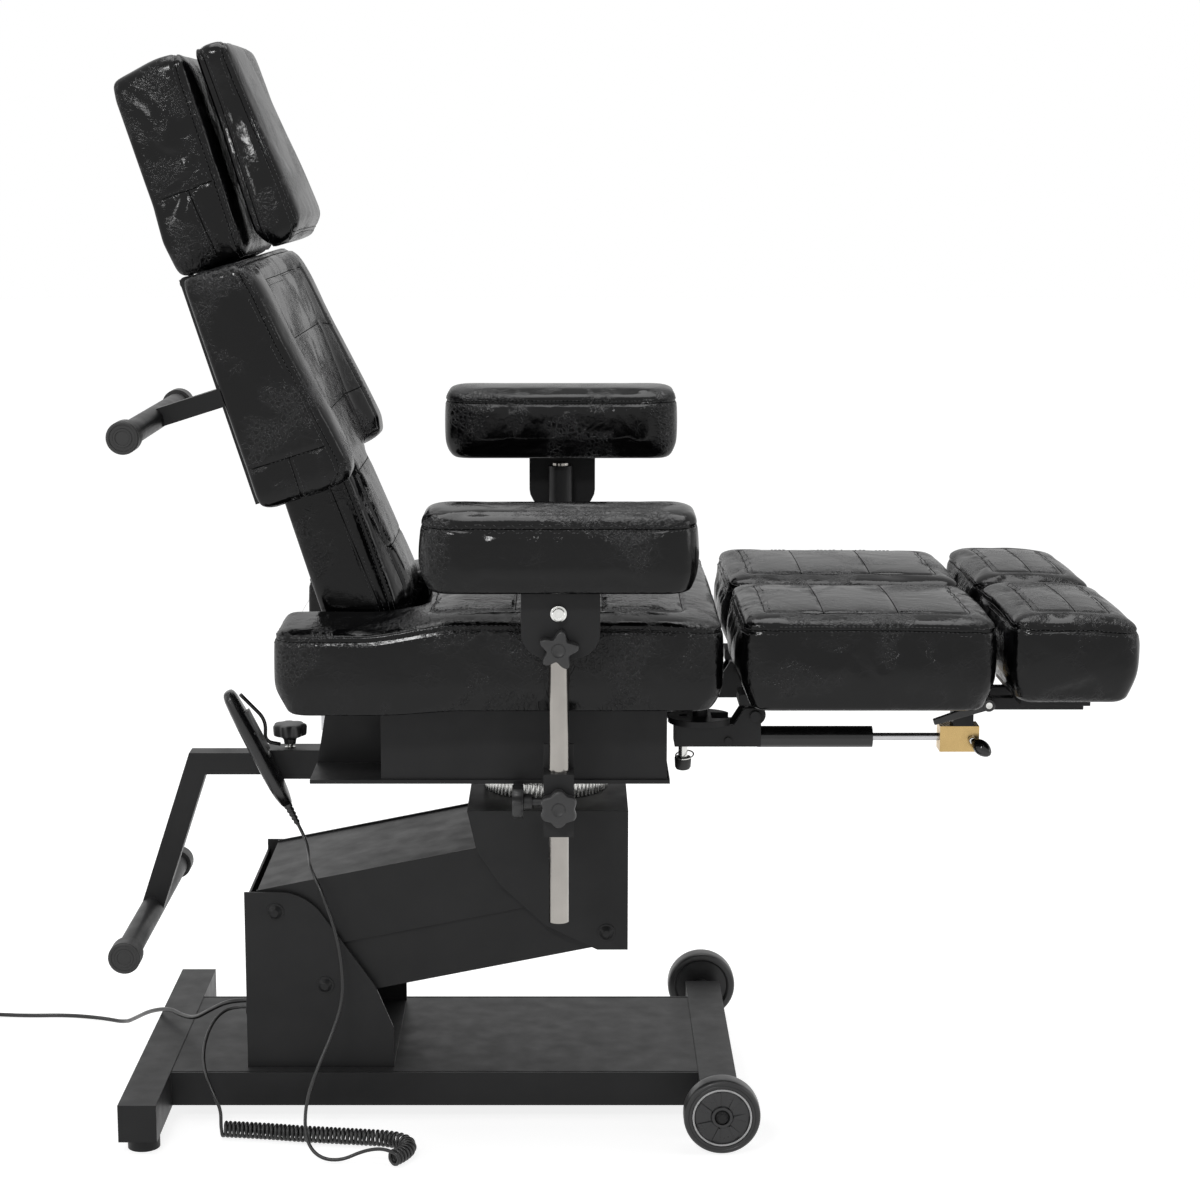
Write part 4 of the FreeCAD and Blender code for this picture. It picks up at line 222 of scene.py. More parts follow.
# %% A material with short names for its nodes
class Finish:
    """A Principled material, and the nodes that most finishes need."""

    def __init__(self, name, base, rough, metal=0.0, **sockets):
        self.material = bpy.data.materials.new(name)
        self.material.use_nodes = True
        self.tree = self.material.node_tree
        self.shader = self.tree.nodes["Principled BSDF"]
        self.shader.inputs["Base Color"].default_value = (*base, 1)
        self.shader.inputs["Roughness"].default_value = rough
        self.shader.inputs["Metallic"].default_value = metal
        for socket, value in sockets.items():
            self.shader.inputs[socket.replace("_", " ")].default_value = value
        self.coords = self.add("ShaderNodeTexCoord").outputs["Object"]
        self.normal = None

    def add(self, kind, settings=(), **values):
        node = self.tree.nodes.new(kind)
        for key, value in dict(settings).items():
            setattr(node, key, value)
        for key, value in values.items():
            node.inputs[key.replace("_", " ")].default_value = value
        return node

    def join(self, source, target):
        self.tree.links.new(source, target)

    def stretched(self, scale):
        node = self.add("ShaderNodeMapping", Scale=scale)
        self.join(self.coords, node.inputs["Vector"])
        return node.outputs["Vector"]

    def noise(self, scale, detail=4.0, distortion=0.0, kind="FBM", rough=0.5, coords=None):
        node = self.add("ShaderNodeTexNoise", {"noise_type": kind}, Scale=scale, Detail=detail,
                        Distortion=distortion, Roughness=rough)
        self.join(coords or self.coords, node.inputs["Vector"])
        return node.outputs["Fac"]

    def cracks(self, scale, wander, detail=2.0):
        """Distance from the lines of a net of cracks, whose course wanders."""
        drift = self.add("ShaderNodeTexNoise", Scale=scale * 0.5, Detail=5.0, Roughness=0.65)
        self.join(self.coords, drift.inputs["Vector"])
        shift = self.add("ShaderNodeVectorMath", {"operation": "MULTIPLY_ADD"})
        self.join(drift.outputs["Color"], shift.inputs[0])
        shift.inputs[1].default_value = (wander, wander, wander)
        self.join(self.coords, shift.inputs[2])
        node = self.add("ShaderNodeTexVoronoi", {"feature": "DISTANCE_TO_EDGE"}, Scale=scale, Detail=detail)
        self.join(shift.outputs["Vector"], node.inputs["Vector"])
        return node.outputs["Distance"]

    def ramp(self, source, low, high, start=0.3, end=0.7):
        node = self.add("ShaderNodeMapRange", From_Min=start, From_Max=end, To_Min=low, To_Max=high)
        self.join(source, node.inputs["Value"])
        return node.outputs["Result"]

    def times(self, first, second):
        node = self.add("ShaderNodeMath", {"operation": "MULTIPLY"})
        self.join(first, node.inputs[0])
        self.join(second, node.inputs[1])
        return node.outputs["Value"]

    def tint(self, share, dark, light):
        node = self.add("ShaderNodeMix", {"data_type": "RGBA"})
        node.inputs[6].default_value = (*dark, 1)
        node.inputs[7].default_value = (*light, 1)
        self.join(share, node.inputs[0])
        self.join(node.outputs[2], self.shader.inputs["Base Color"])

    def roughness(self, share, low, high):
        self.join(self.ramp(share, low, high), self.shader.inputs["Roughness"])

    def ease_edges(self, radius):
        """Sharp edges catch light as if they were slightly rounded."""
        node = self.add("ShaderNodeBevel", {"samples": 4}, Radius=radius)
        self.normal = node.outputs["Normal"]
        self.join(self.normal, self.shader.inputs["Normal"])

    def relief(self, source, strength, distance):
        node = self.add("ShaderNodeBump", Strength=strength, Distance=distance)
        self.join(source, node.inputs["Height"])
        if self.normal:
            self.join(self.normal, node.inputs["Normal"])
        self.normal = node.outputs["Normal"]
        self.join(self.normal, self.shader.inputs["Normal"])
        self.join(self.normal, self.shader.inputs["Coat Normal"])


def shade_of(base, factor):
    return tuple(min(value * factor, 1.0) for value in base)


# %% Recipes for the finishes
def powder_coat(name, base, rough):
    finish = Finish(name, base, rough, Specular_IOR_Level=0.2)
    finish.ease_edges(0.0011)
    finish.tint(finish.ramp(finish.noise(9), 0, 1), shade_of(base, 0.9), shade_of(base, 1.2))
    finish.roughness(finish.noise(30), rough - 0.05, rough + 0.07)
    finish.relief(finish.noise(900, 2), 0.1, 0.0004)
    return finish.material


def leatherette(name, base, glint_tone, rough, depth):
    """Crumpled black sheet: hair lines in cloudy patches with a painted highlight, soft folds and a fine
    grain.
    """
    finish = Finish(name, base, rough, Coat_Weight=0.48, Coat_Roughness=0.09, Specular_IOR_Level=0.0)
    cloud = finish.ramp(finish.noise(13, 5, 0.8), 0, 1, 0.44, 0.62)
    coarse = finish.ramp(finish.cracks(62, 0.020), 1, 0, 0.0, 0.07)
    fine = finish.ramp(finish.cracks(150, 0.010), 1, 0, 0.0, 0.10)
    lines = finish.add("ShaderNodeMath", {"operation": "MAXIMUM"})
    finish.join(finish.times(coarse, cloud), lines.inputs[0])
    finish.join(finish.times(fine, finish.times(cloud, cloud)), lines.inputs[1])
    # The paler tint of the hair lines is painted highlight, light caught on the creases.
    finish.tint(lines.outputs["Value"], base, glint_tone)
    finish.roughness(finish.noise(36, 5), rough - 0.09, rough + 0.13)
    finish.relief(finish.noise(9, 6, 1.0), 0.28 * depth, 0.008)
    finish.relief(finish.noise(34, 8, 1.6, "RIDGED_MULTIFRACTAL", 0.62), 0.42 * depth, 0.0007)
    finish.relief(lines.outputs["Value"], 0.9 * depth, 0.0006)
    finish.relief(finish.cracks(520, 0.001, 0.0), 0.22, 0.0003)
    return finish.material


def bare_metal(name, base, rough, brush=None):
    finish = Finish(name, base, rough, 1.0)
    finish.tint(finish.ramp(finish.noise(20, 5), 0, 1), shade_of(base, 0.9), shade_of(base, 1.08))
    coords = finish.stretched(brush) if brush else finish.coords
    finish.roughness(finish.noise(160, 4, coords=coords), rough * 0.7, rough * 1.5)
    finish.relief(finish.noise(260, 3, coords=coords), 0.06, 0.0002)
    return finish.material


def moulded(name, base, rough, grain=700, gloss=0.5):
    finish = Finish(name, base, rough, Specular_IOR_Level=gloss)
    finish.tint(finish.ramp(finish.noise(25, 4), 0, 1), base, shade_of(base, 1.3))
    finish.roughness(finish.noise(60), rough - 0.05, rough + 0.08)
    finish.relief(finish.noise(grain, 2), 0.15, 0.0003)
    return finish.material


# %% The finishes
STEEL = powder_coat("satin_black_steel", (0.021, 0.021, 0.0215), 0.44)
STEEL_TOP = powder_coat("satin_black_plate", (0.026, 0.026, 0.0265), 0.47)
LEATHER = leatherette("creased_leatherette", (0.0015, 0.0015, 0.0017), (0.011, 0.011, 0.012), 0.32, 1.0)
# Stitch thread: its own black, tinted paler as a painted highlight on the stitches.
THREAD = moulded("black_thread", (0.02, 0.02, 0.021), 0.45, 900)
# Dark matte ribbons at the bottoms of the seams: painted shade.
SEAM = moulded("seam_shadow", (0.0015, 0.0015, 0.0016), 0.9, 900, 0.05)
CHROME = bare_metal("champagne_chrome", (0.31, 0.295, 0.275), 0.17, (1, 1, 0.05))
ROD = bare_metal("ground_rod", (0.5, 0.5, 0.51), 0.18, (0.05, 1, 1))
ZINC = bare_metal("yellow_zinc", (0.50, 0.35, 0.15), 0.26)
SCREW = bare_metal("zinc_screw", (0.66, 0.66, 0.64), 0.22)
GLOSS = moulded("gloss_black_tube", (0.006, 0.006, 0.006), 0.16, 300)
PLASTIC = moulded("black_plastic", (0.024, 0.024, 0.0245), 0.42)
HANDSET = moulded("handset_plastic", (0.008, 0.008, 0.0085), 0.24, 1200)
RUBBER = moulded("black_rubber", (0.012, 0.012, 0.012), 0.5)
CORD = moulded("cord_jacket", (0.009, 0.009, 0.009), 0.32, 500)
TYRE = moulded("tyre_rubber", (0.013, 0.013, 0.0135), 0.36)
RING = moulded("wheel_ring", (0.62, 0.62, 0.62), 0.35)
HUB = moulded("wheel_hub", (0.022, 0.022, 0.023), 0.3)
print(len(bpy.data.materials), "finishes")

# %% [markdown]
# ## Finishes of the frame's own pieces
# Most of the frame is steel with one finish, so a word in a piece's name is enough to choose it. Where one
# piece has two metals, as the leg frame with its rod and release bracket, its faces take the second by
# where they lie.

# %% Frame pieces
BY_NAME = {"deck_plate": STEEL_TOP, "drive_rod": ROD, "back_spring_rod": ROD, "gas_cylinder": GLOSS,
           "drive_motor_tube": GLOSS, "back_spring_tube": GLOSS, "arm_post": CHROME, "mains_plug": RUBBER,
           "handset": HANDSET, "handset_rocker": PLASTIC, "knob": PLASTIC, "plunger": SCREW,
           "lever": PLASTIC, "cord_glands": RUBBER, "handset_holder": GLOSS}
WHOLE_NAMES = ("handset",)


def finish_piece(piece, *materials, index=0):
    """The piece takes the finishes, and all its faces the one at the index."""
    piece.data.materials.clear()
    for material in materials:
        piece.data.materials.append(material)
    if index:
        piece.data.polygons.foreach_set("material_index", [index] * len(piece.data.polygons))


def patch(node, material, low, high):
    """Faces of a frame piece whose middle lies in a box take another finish."""
    mesh = nodes[node].data
    mesh.materials.append(material)
    index = len(mesh.materials) - 1
    for face in mesh.polygons:
        if all(low[axis] <= face.center[axis] <= high[axis] for axis in range(3)):
            face.material_index = index


for name, node in nodes.items():
    material = STEEL
    for word, choice in BY_NAME.items():
        if word == name or (word in name and word not in WHOLE_NAMES):
            material = choice
    finish_piece(node, material)
for cord in (mains, hand_cord):
    finish_piece(cord, CORD)
LEG_MIDDLE = 0.150
SPRING_SIDES = (LEG_MIDDLE - 0.03, LEG_MIDDLE + 0.03)
GRIP_SIDES = (0.204, 0.24)
# For each patch: the piece, its finish, and the two ends of its box in x, in y on the far side, and in z.
PATCHES = (("leg_frame_", ROD, (0.25, 0.4345), SPRING_SIDES, (0.518, 0.536)),
           ("leg_frame_", ZINC, (0.4345, 0.489), SPRING_SIDES, (0.505, 0.5485)),
           ("back_frame", RUBBER, (-0.7, -0.55), GRIP_SIDES, (0.88, 0.97)),
           ("step_bar", RUBBER, (-0.66, -0.60), GRIP_SIDES, (0.22, 0.28)))
for label, side in SIDES:
    for name, material, ends, sides, heights in PATCHES:
        low_y, high_y = sorted(side * reach for reach in sides)
        patch(name + label if name.endswith("_") else name, material, (ends[0], low_y, heights[0]),
              (ends[1], high_y, heights[1]))
print("finishes laid on", len(nodes), "frame pieces")

# %% [markdown]
# ## Tools for new pieces
# A new piece starts as a primitive at its size and place. Round parts such as wheels and screws could be
# stacks of cylinders, but a profile of rings is closer to how they are turned or moulded: a circle is
# extruded once for each ring, and the rings then take their radius and their place along the axis. Lobes
# make the same rings a star knob.


# %% Selecting and applying
def activate(piece):
    bpy.ops.object.select_all(action="DESELECT")
    piece.select_set(True)
    bpy.context.view_layer.objects.active = piece


def apply_all(piece):
    activate(piece)
    for modifier in list(piece.modifiers):
        bpy.ops.object.modifier_apply(modifier=modifier.name)


def round_edges(piece, width, segments):
    """Rounds every sharp edge of a piece."""
    modifier = piece.modifiers.new("round", "BEVEL")
    modifier.width = width
    modifier.segments = segments
    modifier.limit_method = "ANGLE"
    modifier.angle_limit = math.radians(50)
    apply_all(piece)


def block(name, low, high, corner=0.0, edge=0.0, segments=5):
    """A block between two corners: its upright edges are rounded by one radius, the others by another."""
    low, high = Vector(low), Vector(high)
    bpy.ops.object.select_all(action="DESELECT")
    bpy.ops.mesh.primitive_cube_add(size=1, location=(low + high) / 2)
    piece = bpy.context.object
    piece.name = name
    piece.scale = high - low
    bpy.ops.object.transform_apply(location=True, rotation=False, scale=True)
    if corner:
        bpy.ops.object.mode_set(mode="EDIT")
        bpy.ops.mesh.select_mode(type="EDGE")
        bpy.ops.mesh.select_all(action="DESELECT")
        mesh = bmesh.from_edit_mesh(piece.data)
        for line in mesh.edges:
            line.select = abs(line.verts[0].co.z - line.verts[1].co.z) > 1e-4
        bmesh.update_edit_mesh(piece.data)
        bpy.ops.mesh.bevel(offset=corner, segments=segments, affect="EDGES")
        bpy.ops.object.mode_set(mode="OBJECT")
    if edge:
        round_edges(piece, edge, segments)
    return piece


def turned(name, rings, sides=64, section=None):
    """A round piece along Z. Rings are (place along the axis, radius, share of the lobes if any)."""
    rings = [(*ring, 0)[:3] for ring in rings]
    bpy.ops.object.select_all(action="DESELECT")
    bpy.ops.mesh.primitive_circle_add(vertices=sides, radius=1, fill_type="NOTHING", location=(0, 0, 0))
    piece = bpy.context.object
    piece.name = name
    bpy.ops.object.mode_set(mode="EDIT")
    bpy.ops.mesh.select_all(action="SELECT")
    for _ in rings[1:]:
        bpy.ops.mesh.extrude_region_move(TRANSFORM_OT_translate={"value": (0, 0, 1)})
    bpy.ops.object.mode_set(mode="OBJECT")
    for vertex in piece.data.vertices:
        ring = rings[min(int(round(vertex.co.z)), len(rings) - 1)]
        angle = math.atan2(vertex.co.y, vertex.co.x)
        reach = section(angle, ring) if section else (ring[1], ring[1])
        vertex.co = (reach[0] * math.cos(angle), reach[1] * math.sin(angle), ring[0])
    bpy.ops.object.mode_set(mode="EDIT")
    bpy.ops.mesh.select_all(action="SELECT")
    bpy.ops.mesh.remove_doubles(threshold=1e-5)
    bpy.ops.mesh.normals_make_consistent(inside=False)
    bpy.ops.object.mode_set(mode="OBJECT")
    bpy.ops.object.shade_smooth_by_angle(angle=math.radians(35))
    return piece


def star(lobes, depth, flat=1.0):
    """A section with lobes: each ring's third value says how much of their depth it has."""
    def section(angle, ring):
        wave = (0.5 - 0.5 * math.cos(lobes * angle)) ** flat
        reach = ring[1] * (1 - depth * ring[2] * wave)
        return reach, reach
    return section


def colour_faces(piece, materials, choose):
    """The finish of each face is chosen by its middle."""
    finish_piece(piece, *materials)
    for face in piece.data.polygons:
        face.material_index = choose(face.center)


def facing(place, way, up=(0, 0, 1)):
    """A matrix that stands a piece's Z axis along a direction at a place."""
    way = Vector(way).normalized()
    across = Vector(up).cross(way)
    if across.length < 1e-4:
        across = Vector((1, 0, 0))
    across.normalize()
    upward = way.cross(across)
    turn = Matrix((across, upward, way)).transposed().to_4x4()
    return Matrix.Translation(place) @ turn


def join_up(name, pieces):
    """Several pieces become one, under a name."""
    bpy.ops.object.select_all(action="DESELECT")
    for piece in pieces:
        piece.select_set(True)
    bpy.context.view_layer.objects.active = pieces[0]
    bpy.ops.object.join()
    pieces[0].name = name
    return pieces[0]


def set_down(piece, place, body, slot, *replaced):
    """Puts a finished piece in its place, on its body."""
    piece.data.transform(place)
    piece.data.update()
    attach(piece, body)
    if replaced:
        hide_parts(*replaced)
    return piece

# %% [markdown]
# ## Making cushions
# A cushion on the real chair is a foam block in a sewn leatherette cover. A bevelled box would look hard,
# so each block is turned into an even net of faces, shaped, and blown up a little as cloth. Its seams are
# then pressed in, each with a dark matte line at its bottom that is painted shade, and rows of stitches
# beside it. Everything is made lying flat, X along it and Z out of its sitting face, and the back's
# cushions are then turned to the back's lean.

# %% Where cushions go
LEAN = math.radians(17.6)
HINGE = Vector((-0.345, 0, 0.555))
BACK = Matrix.Translation(HINGE) @ Matrix(((-math.sin(LEAN), 0, math.cos(LEAN), 0), (0, -1, 0, 0),
                                           (math.cos(LEAN), 0, math.sin(LEAN), 0), (0, 0, 0, 1)))
FLAT = Matrix.Identity(4)
SEAM_DEPTH = 0.0023
SWELL = 0.002
SEAM_WIDTH = 0.0030
TUFT = 6
STITCH_OFFSET = 0.0032
STITCH_STEP = 0.0056
STITCH_LONG = 0.0040
STITCH_THICK = 0.0005
NET_STEP = 0.006
PRESSURE, CLOTH_FRAMES, CLOTH_QUALITY = 4, 20, 4
TENSION, BENDING = 12, 0.6
PUFF = 0.0035
PUFF_HEAD = 0.003
PUFF_ARM = 0.0028
CROSS_SHARE, SIDE_SHARE, PANEL_SHARE = 0.7, 0.8, 1.2
CROWN = 0.006
PANEL_ABOVE = 0.72


# %% Nets of points
def coordinates(piece):
    values = np.empty(len(piece.data.vertices) * 3, np.float64)
    piece.data.vertices.foreach_get("co", values)
    return values.reshape(-1, 3)


def set_coordinates(piece, values):
    piece.data.vertices.foreach_set("co", np.asarray(values, np.float32).ravel())
    piece.data.update()


def normals_of(piece):
    values = np.empty(len(piece.data.vertices) * 3, np.float32)
    piece.data.vertices.foreach_get("normal", values)
    return values.reshape(-1, 3)


def ease(values, start, end):
    """From 0 at the start to 1 at the end, smoothly."""
    share = np.clip((np.asarray(values, float) - start) / (end - start), 0, 1)
    return share * share * (3 - 2 * share)


def inflate(piece, cap):
    """Blows the piece up as cloth. No point moves further than the cap, and the underside stays flat."""
    before = coordinates(piece)
    down = ease(-normals_of(piece)[:, 2:3], 0.3, 0.9)
    cloth = piece.modifiers.new("cloth", "CLOTH")
    settings = cloth.settings
    settings.use_pressure = True
    settings.uniform_pressure_force = PRESSURE
    settings.quality = CLOTH_QUALITY
    settings.tension_stiffness = TENSION
    settings.bending_stiffness = BENDING
    settings.effector_weights.gravity = 0
    scene.frame_start, scene.frame_end = 1, CLOTH_FRAMES
    cloth.point_cache.frame_start, cloth.point_cache.frame_end = 1, CLOTH_FRAMES
    for number in range(1, CLOTH_FRAMES + 1):
        scene.frame_set(number)
    apply_all(piece)
    scene.frame_set(1)
    moved = coordinates(piece) - before
    reach = np.linalg.norm(moved, axis=1, keepdims=True)
    moved *= np.minimum(1, cap / np.maximum(reach, 1e-9)) * (1 - down)
    set_coordinates(piece, before + moved)


# %% Seams and stitches
def tree_of(piece):
    mesh = piece.data
    return BVHTree.FromPolygons([vertex.co for vertex in mesh.vertices],
                                [face.vertices for face in mesh.polygons])


def spaced(points, step):
    """Points at even steps along a chain of points."""
    points = [Vector(point) for point in points]
    result, left = [points[0]], step
    for first, last in zip(points, points[1:]):
        run = (last - first).length
        at = left
        while at <= run:
            result.append(first.lerp(last, at / run))
            at += step
        left = at - run
    return result


def press(piece, seams):
    """Presses seams in: a narrow groove in a wide soft dip. Gives the places of the painted shade line at
    each groove's bottom.
    """
    tree = tree_of(piece)
    lines, spots = [], []
    for points, depth in seams:
        line = []
        for spot in spaced(points, 0.002):
            hit, normal, _, _ = tree.find_nearest(spot)
            line.append((hit - normal * (1.3 * depth - 0.0002), normal))
            spots.append((hit, depth))
        lines.append(line)
    cloud = KDTree(len(spots))
    for number, (hit, _) in enumerate(spots):
        cloud.insert(hit, number)
    cloud.balance()
    places = coordinates(piece)
    normals = normals_of(piece)
    shift = np.zeros(len(places))
    for number, place in enumerate(places):
        _, nearest, gap = cloud.find(place)
        if gap < SEAM_WIDTH * TUFT * 2:
            depth = spots[nearest][1]
            narrow = math.exp(-(gap / SEAM_WIDTH) ** 2)
            shift[number] = depth * (narrow + 0.3 * math.exp(-(gap / (SEAM_WIDTH * TUFT)) ** 2))
    set_coordinates(piece, places - normals * shift[:, None])
    return lines


def ribbons(name, chains, half, height, material):
    """A low ridge along each chain of (place, normal), closed at its ends."""
    vertices, faces = [], []
    for chain in chains:
        start = len(vertices)
        for number, (place, normal) in enumerate(chain):
            way = chain[min(number + 1, len(chain) - 1)][0] - chain[max(number - 1, 0)][0]
            side = normal.cross(way).normalized()
            vertices += [place + side * half, place + normal * height, place - side * half,
                         place - normal * height]
        for number in range(len(chain) - 1):
            here = start + 4 * number
            for corner in range(4):
                after = (corner + 1) % 4
                faces.append((here + corner, here + after, here + 4 + after, here + 4 + corner))
        last = start + 4 * (len(chain) - 1)
        faces.append((start + 3, start + 2, start + 1, start))
        faces.append((last, last + 1, last + 2, last + 3))
    return sewn(name, vertices, faces, material)


def sewn(name, vertices, faces, material):
    mesh = bpy.data.meshes.new(name)
    mesh.from_pydata([tuple(vertex) for vertex in vertices], [], faces)
    mesh.shade_smooth()
    piece = bpy.data.objects.new(name, mesh)
    scene.collection.objects.link(piece)
    finish_piece(piece, material)
    return piece


def stitches(name, chains):
    """Short threads laid on a surface along each chain of (place, normal)."""
    outline = ((-1, 0), (-0.7, 0.8), (0.7, 0.8), (1, 0))
    vertices, faces = [], []
    for chain in chains:
        for (place, normal), (after, _) in zip(chain, chain[1:]):
            way = after - place
            if way.length < 1e-5:
                continue
            way.normalize()
            side = normal.cross(way).normalized()
            start = len(vertices)
            for along, wide in outline:
                for corner in range(5 if wide else 1):
                    turn = 2 * math.pi * corner / 5
                    offset = (side * math.cos(turn) + normal * math.sin(turn)) * (STITCH_THICK * wide)
                    vertices.append(place + way * (along * STITCH_LONG / 2) + offset + normal *
                                    STITCH_THICK * 0.3)
            for corner in range(5):
                after_corner = (corner + 1) % 5
                faces.append((start, start + 1 + after_corner, start + 1 + corner))
                faces.append((start + 1 + corner, start + 1 + after_corner, start + 6 + after_corner,
                              start + 6 + corner))
                faces.append((start + 6 + corner, start + 6 + after_corner, start + 11))
    return sewn(name, vertices, faces, THREAD)


def beside(tree, points, offset):
    """A chain on the surface that keeps beside a seam."""
    chain = []
    spots = spaced(points, STITCH_STEP)
    for number, spot in enumerate(spots):
        hit, normal, _, _ = tree.find_nearest(spot)
        way = spots[min(number + 1, len(spots) - 1)] - spots[max(number - 1, 0)]
        side = normal.cross(way).normalized()
        hit, normal, _, _ = tree.find_nearest(hit + side * offset)
        chain.append((hit, normal))
    return chain


def ring(low, high, radius, height):
    """Points of a level rounded rectangle, closed. The height is a number or worked out from x."""
    points = []
    for corner_x, corner_y, start in ((high[0], high[1], 0), (low[0], high[1], 90), (low[0], low[1], 180),
                                      (high[0], low[1], 270)):
        middle_x = corner_x - math.copysign(radius, corner_x - (low[0] + high[0]) / 2)
        middle_y = corner_y - math.copysign(radius, corner_y - (low[1] + high[1]) / 2)
        for step in range(7):
            turn = math.radians(start + 15 * step)
            points.append((middle_x + radius * math.cos(turn), middle_y + radius * math.sin(turn), 0.0))
    points = spaced(points + [points[0]], 0.01)
    return [(x, y, height(x) if callable(height) else height) for x, y, _ in points + [points[0]]]


# %% One cushion
def cushion(name, form, shape, place, body, replaced, cap, seams, stitched, voxel=NET_STEP):
    """A stuffed cushion from a rough form. Seams are (points, depth); stitched is (points, offsets)."""
    piece = form
    piece.name = name
    for kind, mode in (("REMESH", {"mode": "VOXEL", "voxel_size": voxel}), ("SMOOTH", {"iterations": 2})):
        modifier = piece.modifiers.new("net", kind)
        for key, value in mode.items():
            setattr(modifier, key, value)
        apply_all(piece)
    set_coordinates(piece, coordinates(piece) + normals_of(piece) * SWELL)
    set_coordinates(piece, shape(*coordinates(piece).T))
    inflate(piece, cap)
    modifier = piece.modifiers.new("fine", "SUBSURF")
    modifier.levels = modifier.render_levels = 1
    apply_all(piece)
    lines = press(piece, seams)
    tree = tree_of(piece)
    # A dark matte ribbon at each groove's bottom is painted shade.
    cracks = ribbons(name + "_seams", lines, 0.0008, 0.0006, SEAM)
    threads = stitches(name + "_stitches", [beside(tree, points, offset) for points, offsets in stitched
                                            for offset in offsets])
    activate(piece)
    bpy.ops.object.shade_smooth()
    finish_piece(piece, LEATHER)
    for part in (cracks, threads):
        set_down(part, place, body, "black_leatherette")
    set_down(piece, place, body, "black_leatherette", *replaced)
    print(name, len(piece.data.polygons), "faces")
    return piece


def merged(first, second, operation):
    """The first block with the second added or taken away."""
    modifier = first.modifiers.new("with", "BOOLEAN")
    modifier.operation = operation
    modifier.object = second
    apply_all(first)
    bpy.data.objects.remove(second)
    return first


def tucked(x, y, z, centre, low, depth, height):
    """The sides draw in towards the underside."""
    pull = depth * (1 - ease(z, low, low + height)) ** 2
    away_x, away_y = x - centre[0], y - centre[1]
    x = x - np.clip(away_x * 8, -1, 1) * pull
    y = y - np.clip(away_y * 8, -1, 1) * pull
    return x, y, z


DOUBLE = (STITCH_OFFSET, -STITCH_OFFSET)
SINGLE = (STITCH_OFFSET,)

# %% [markdown]
# ## The seat
# The seat is one wide cushion with a notch behind, which the back's waist fills. Its sitting face dips
# behind and crowns across, and the sewn edge follows that dip round the sides. A notch cut by a boolean
# before the net is made lets the two horns swell as the rest does.

# %% Seat
SEAT_LOW, SEAT_HIGH = (-0.417, -0.2875, 0.5912), (0.1475, 0.2875, 0.7040)
SEAT_CORNER, SEAT_ROUND, SEAT_NET = 0.027, 0.011, 0.0066
SEAT_TOP, SEAT_UPPER, SEAT_CROWN_HALF = 0.7055, (0.63, 0.70), 0.28
REAR_DIP, REAR_RUN = 0.016, (-0.31, -0.18)
FRONT_DIP, FRONT_RUN = 0.005, (0.04, 0.14)
RIM_SIDES, RIM_HEIGHTS, RIM_REAR = (0.245, 0.283), (0.60, 0.65), (-0.30, -0.18)
RIM_DROP, RIM_REAR_DROP = 0.003, 0.006
SEAT_MIDDLE, SEAT_TUCK, SEAT_TUCK_HIGH = (-0.135, 0), 0.009, 0.04
NOTCH_LOW, NOTCH_HIGH, NOTCH_ROUND = (-0.60, -0.148, 0.50), (-0.237, 0.148, 0.80), 0.015
SEAT_EDGE_LOW, SEAT_EDGE_HIGH = (-0.419, -0.290), (0.150, 0.290)
SEAT_EDGE_ROUND, SEAT_EDGE_DROP = 0.03, 0.0095
SEAT_PANEL_ENDS, SEAT_PANEL_HALF, SEAT_PANEL_ROUND = (-0.225, 0.098), 0.235, 0.02
SEAT_CROSSES = (-0.115, -0.005)


def seat_top(x):
    """Height of the sitting face beside its crown."""
    return (SEAT_TOP - REAR_DIP * float(1 - ease(x, *REAR_RUN))
            - FRONT_DIP * float(ease(x, *FRONT_RUN)))


def seat_shape(x, y, z):
    upper = ease(z, *SEAT_UPPER)
    crown = CROWN * np.clip(1 - (y / SEAT_CROWN_HALF) ** 2, 0, 1)
    z = z + upper * (crown - REAR_DIP * (1 - ease(x, *REAR_RUN)) - FRONT_DIP * ease(x, *FRONT_RUN))
    rim = ease(np.abs(y), *RIM_SIDES) * (1 - ease(z, *RIM_HEIGHTS))
    z = z - rim * (RIM_DROP + RIM_REAR_DROP * (1 - ease(x, *RIM_REAR)))
    x, y, z = tucked(x, y, z, SEAT_MIDDLE, SEAT_LOW[2], SEAT_TUCK, SEAT_TUCK_HIGH)
    return np.stack([x, y, z], 1)


seat_form = merged(block("seat_form", SEAT_LOW, SEAT_HIGH, SEAT_CORNER, SEAT_ROUND),
                   block("notch", NOTCH_LOW, NOTCH_HIGH, NOTCH_ROUND), "DIFFERENCE")
seat_edge = ring(SEAT_EDGE_LOW, SEAT_EDGE_HIGH, SEAT_EDGE_ROUND, lambda x: seat_top(x) - SEAT_EDGE_DROP)
seat_panel = ring((SEAT_PANEL_ENDS[0], -SEAT_PANEL_HALF), (SEAT_PANEL_ENDS[1], SEAT_PANEL_HALF),
                  SEAT_PANEL_ROUND, PANEL_ABOVE)
seat_seams = [(seat_edge, SEAM_DEPTH), (seat_panel, SEAM_DEPTH)]
for x in SEAT_CROSSES:
    seat_seams.append(([(x, -SEAT_PANEL_HALF, PANEL_ABOVE), (x, SEAT_PANEL_HALF, PANEL_ABOVE)],
                       CROSS_SHARE * SEAM_DEPTH))
cushion("seat_pad", seat_form, seat_shape, FLAT, "seat", ["seat_cushion"], PUFF, seat_seams,
        [(seat_edge, DOUBLE), (seat_panel, SINGLE)], voxel=SEAT_NET)

# %% [markdown]
# ## The leg and foot cushions
# Each leg rest has a long cushion with an inset panel of three squares, and a short foot cushion that
# slopes off at its end. The pairs are mirror images, so one shape is made at each side's middle.

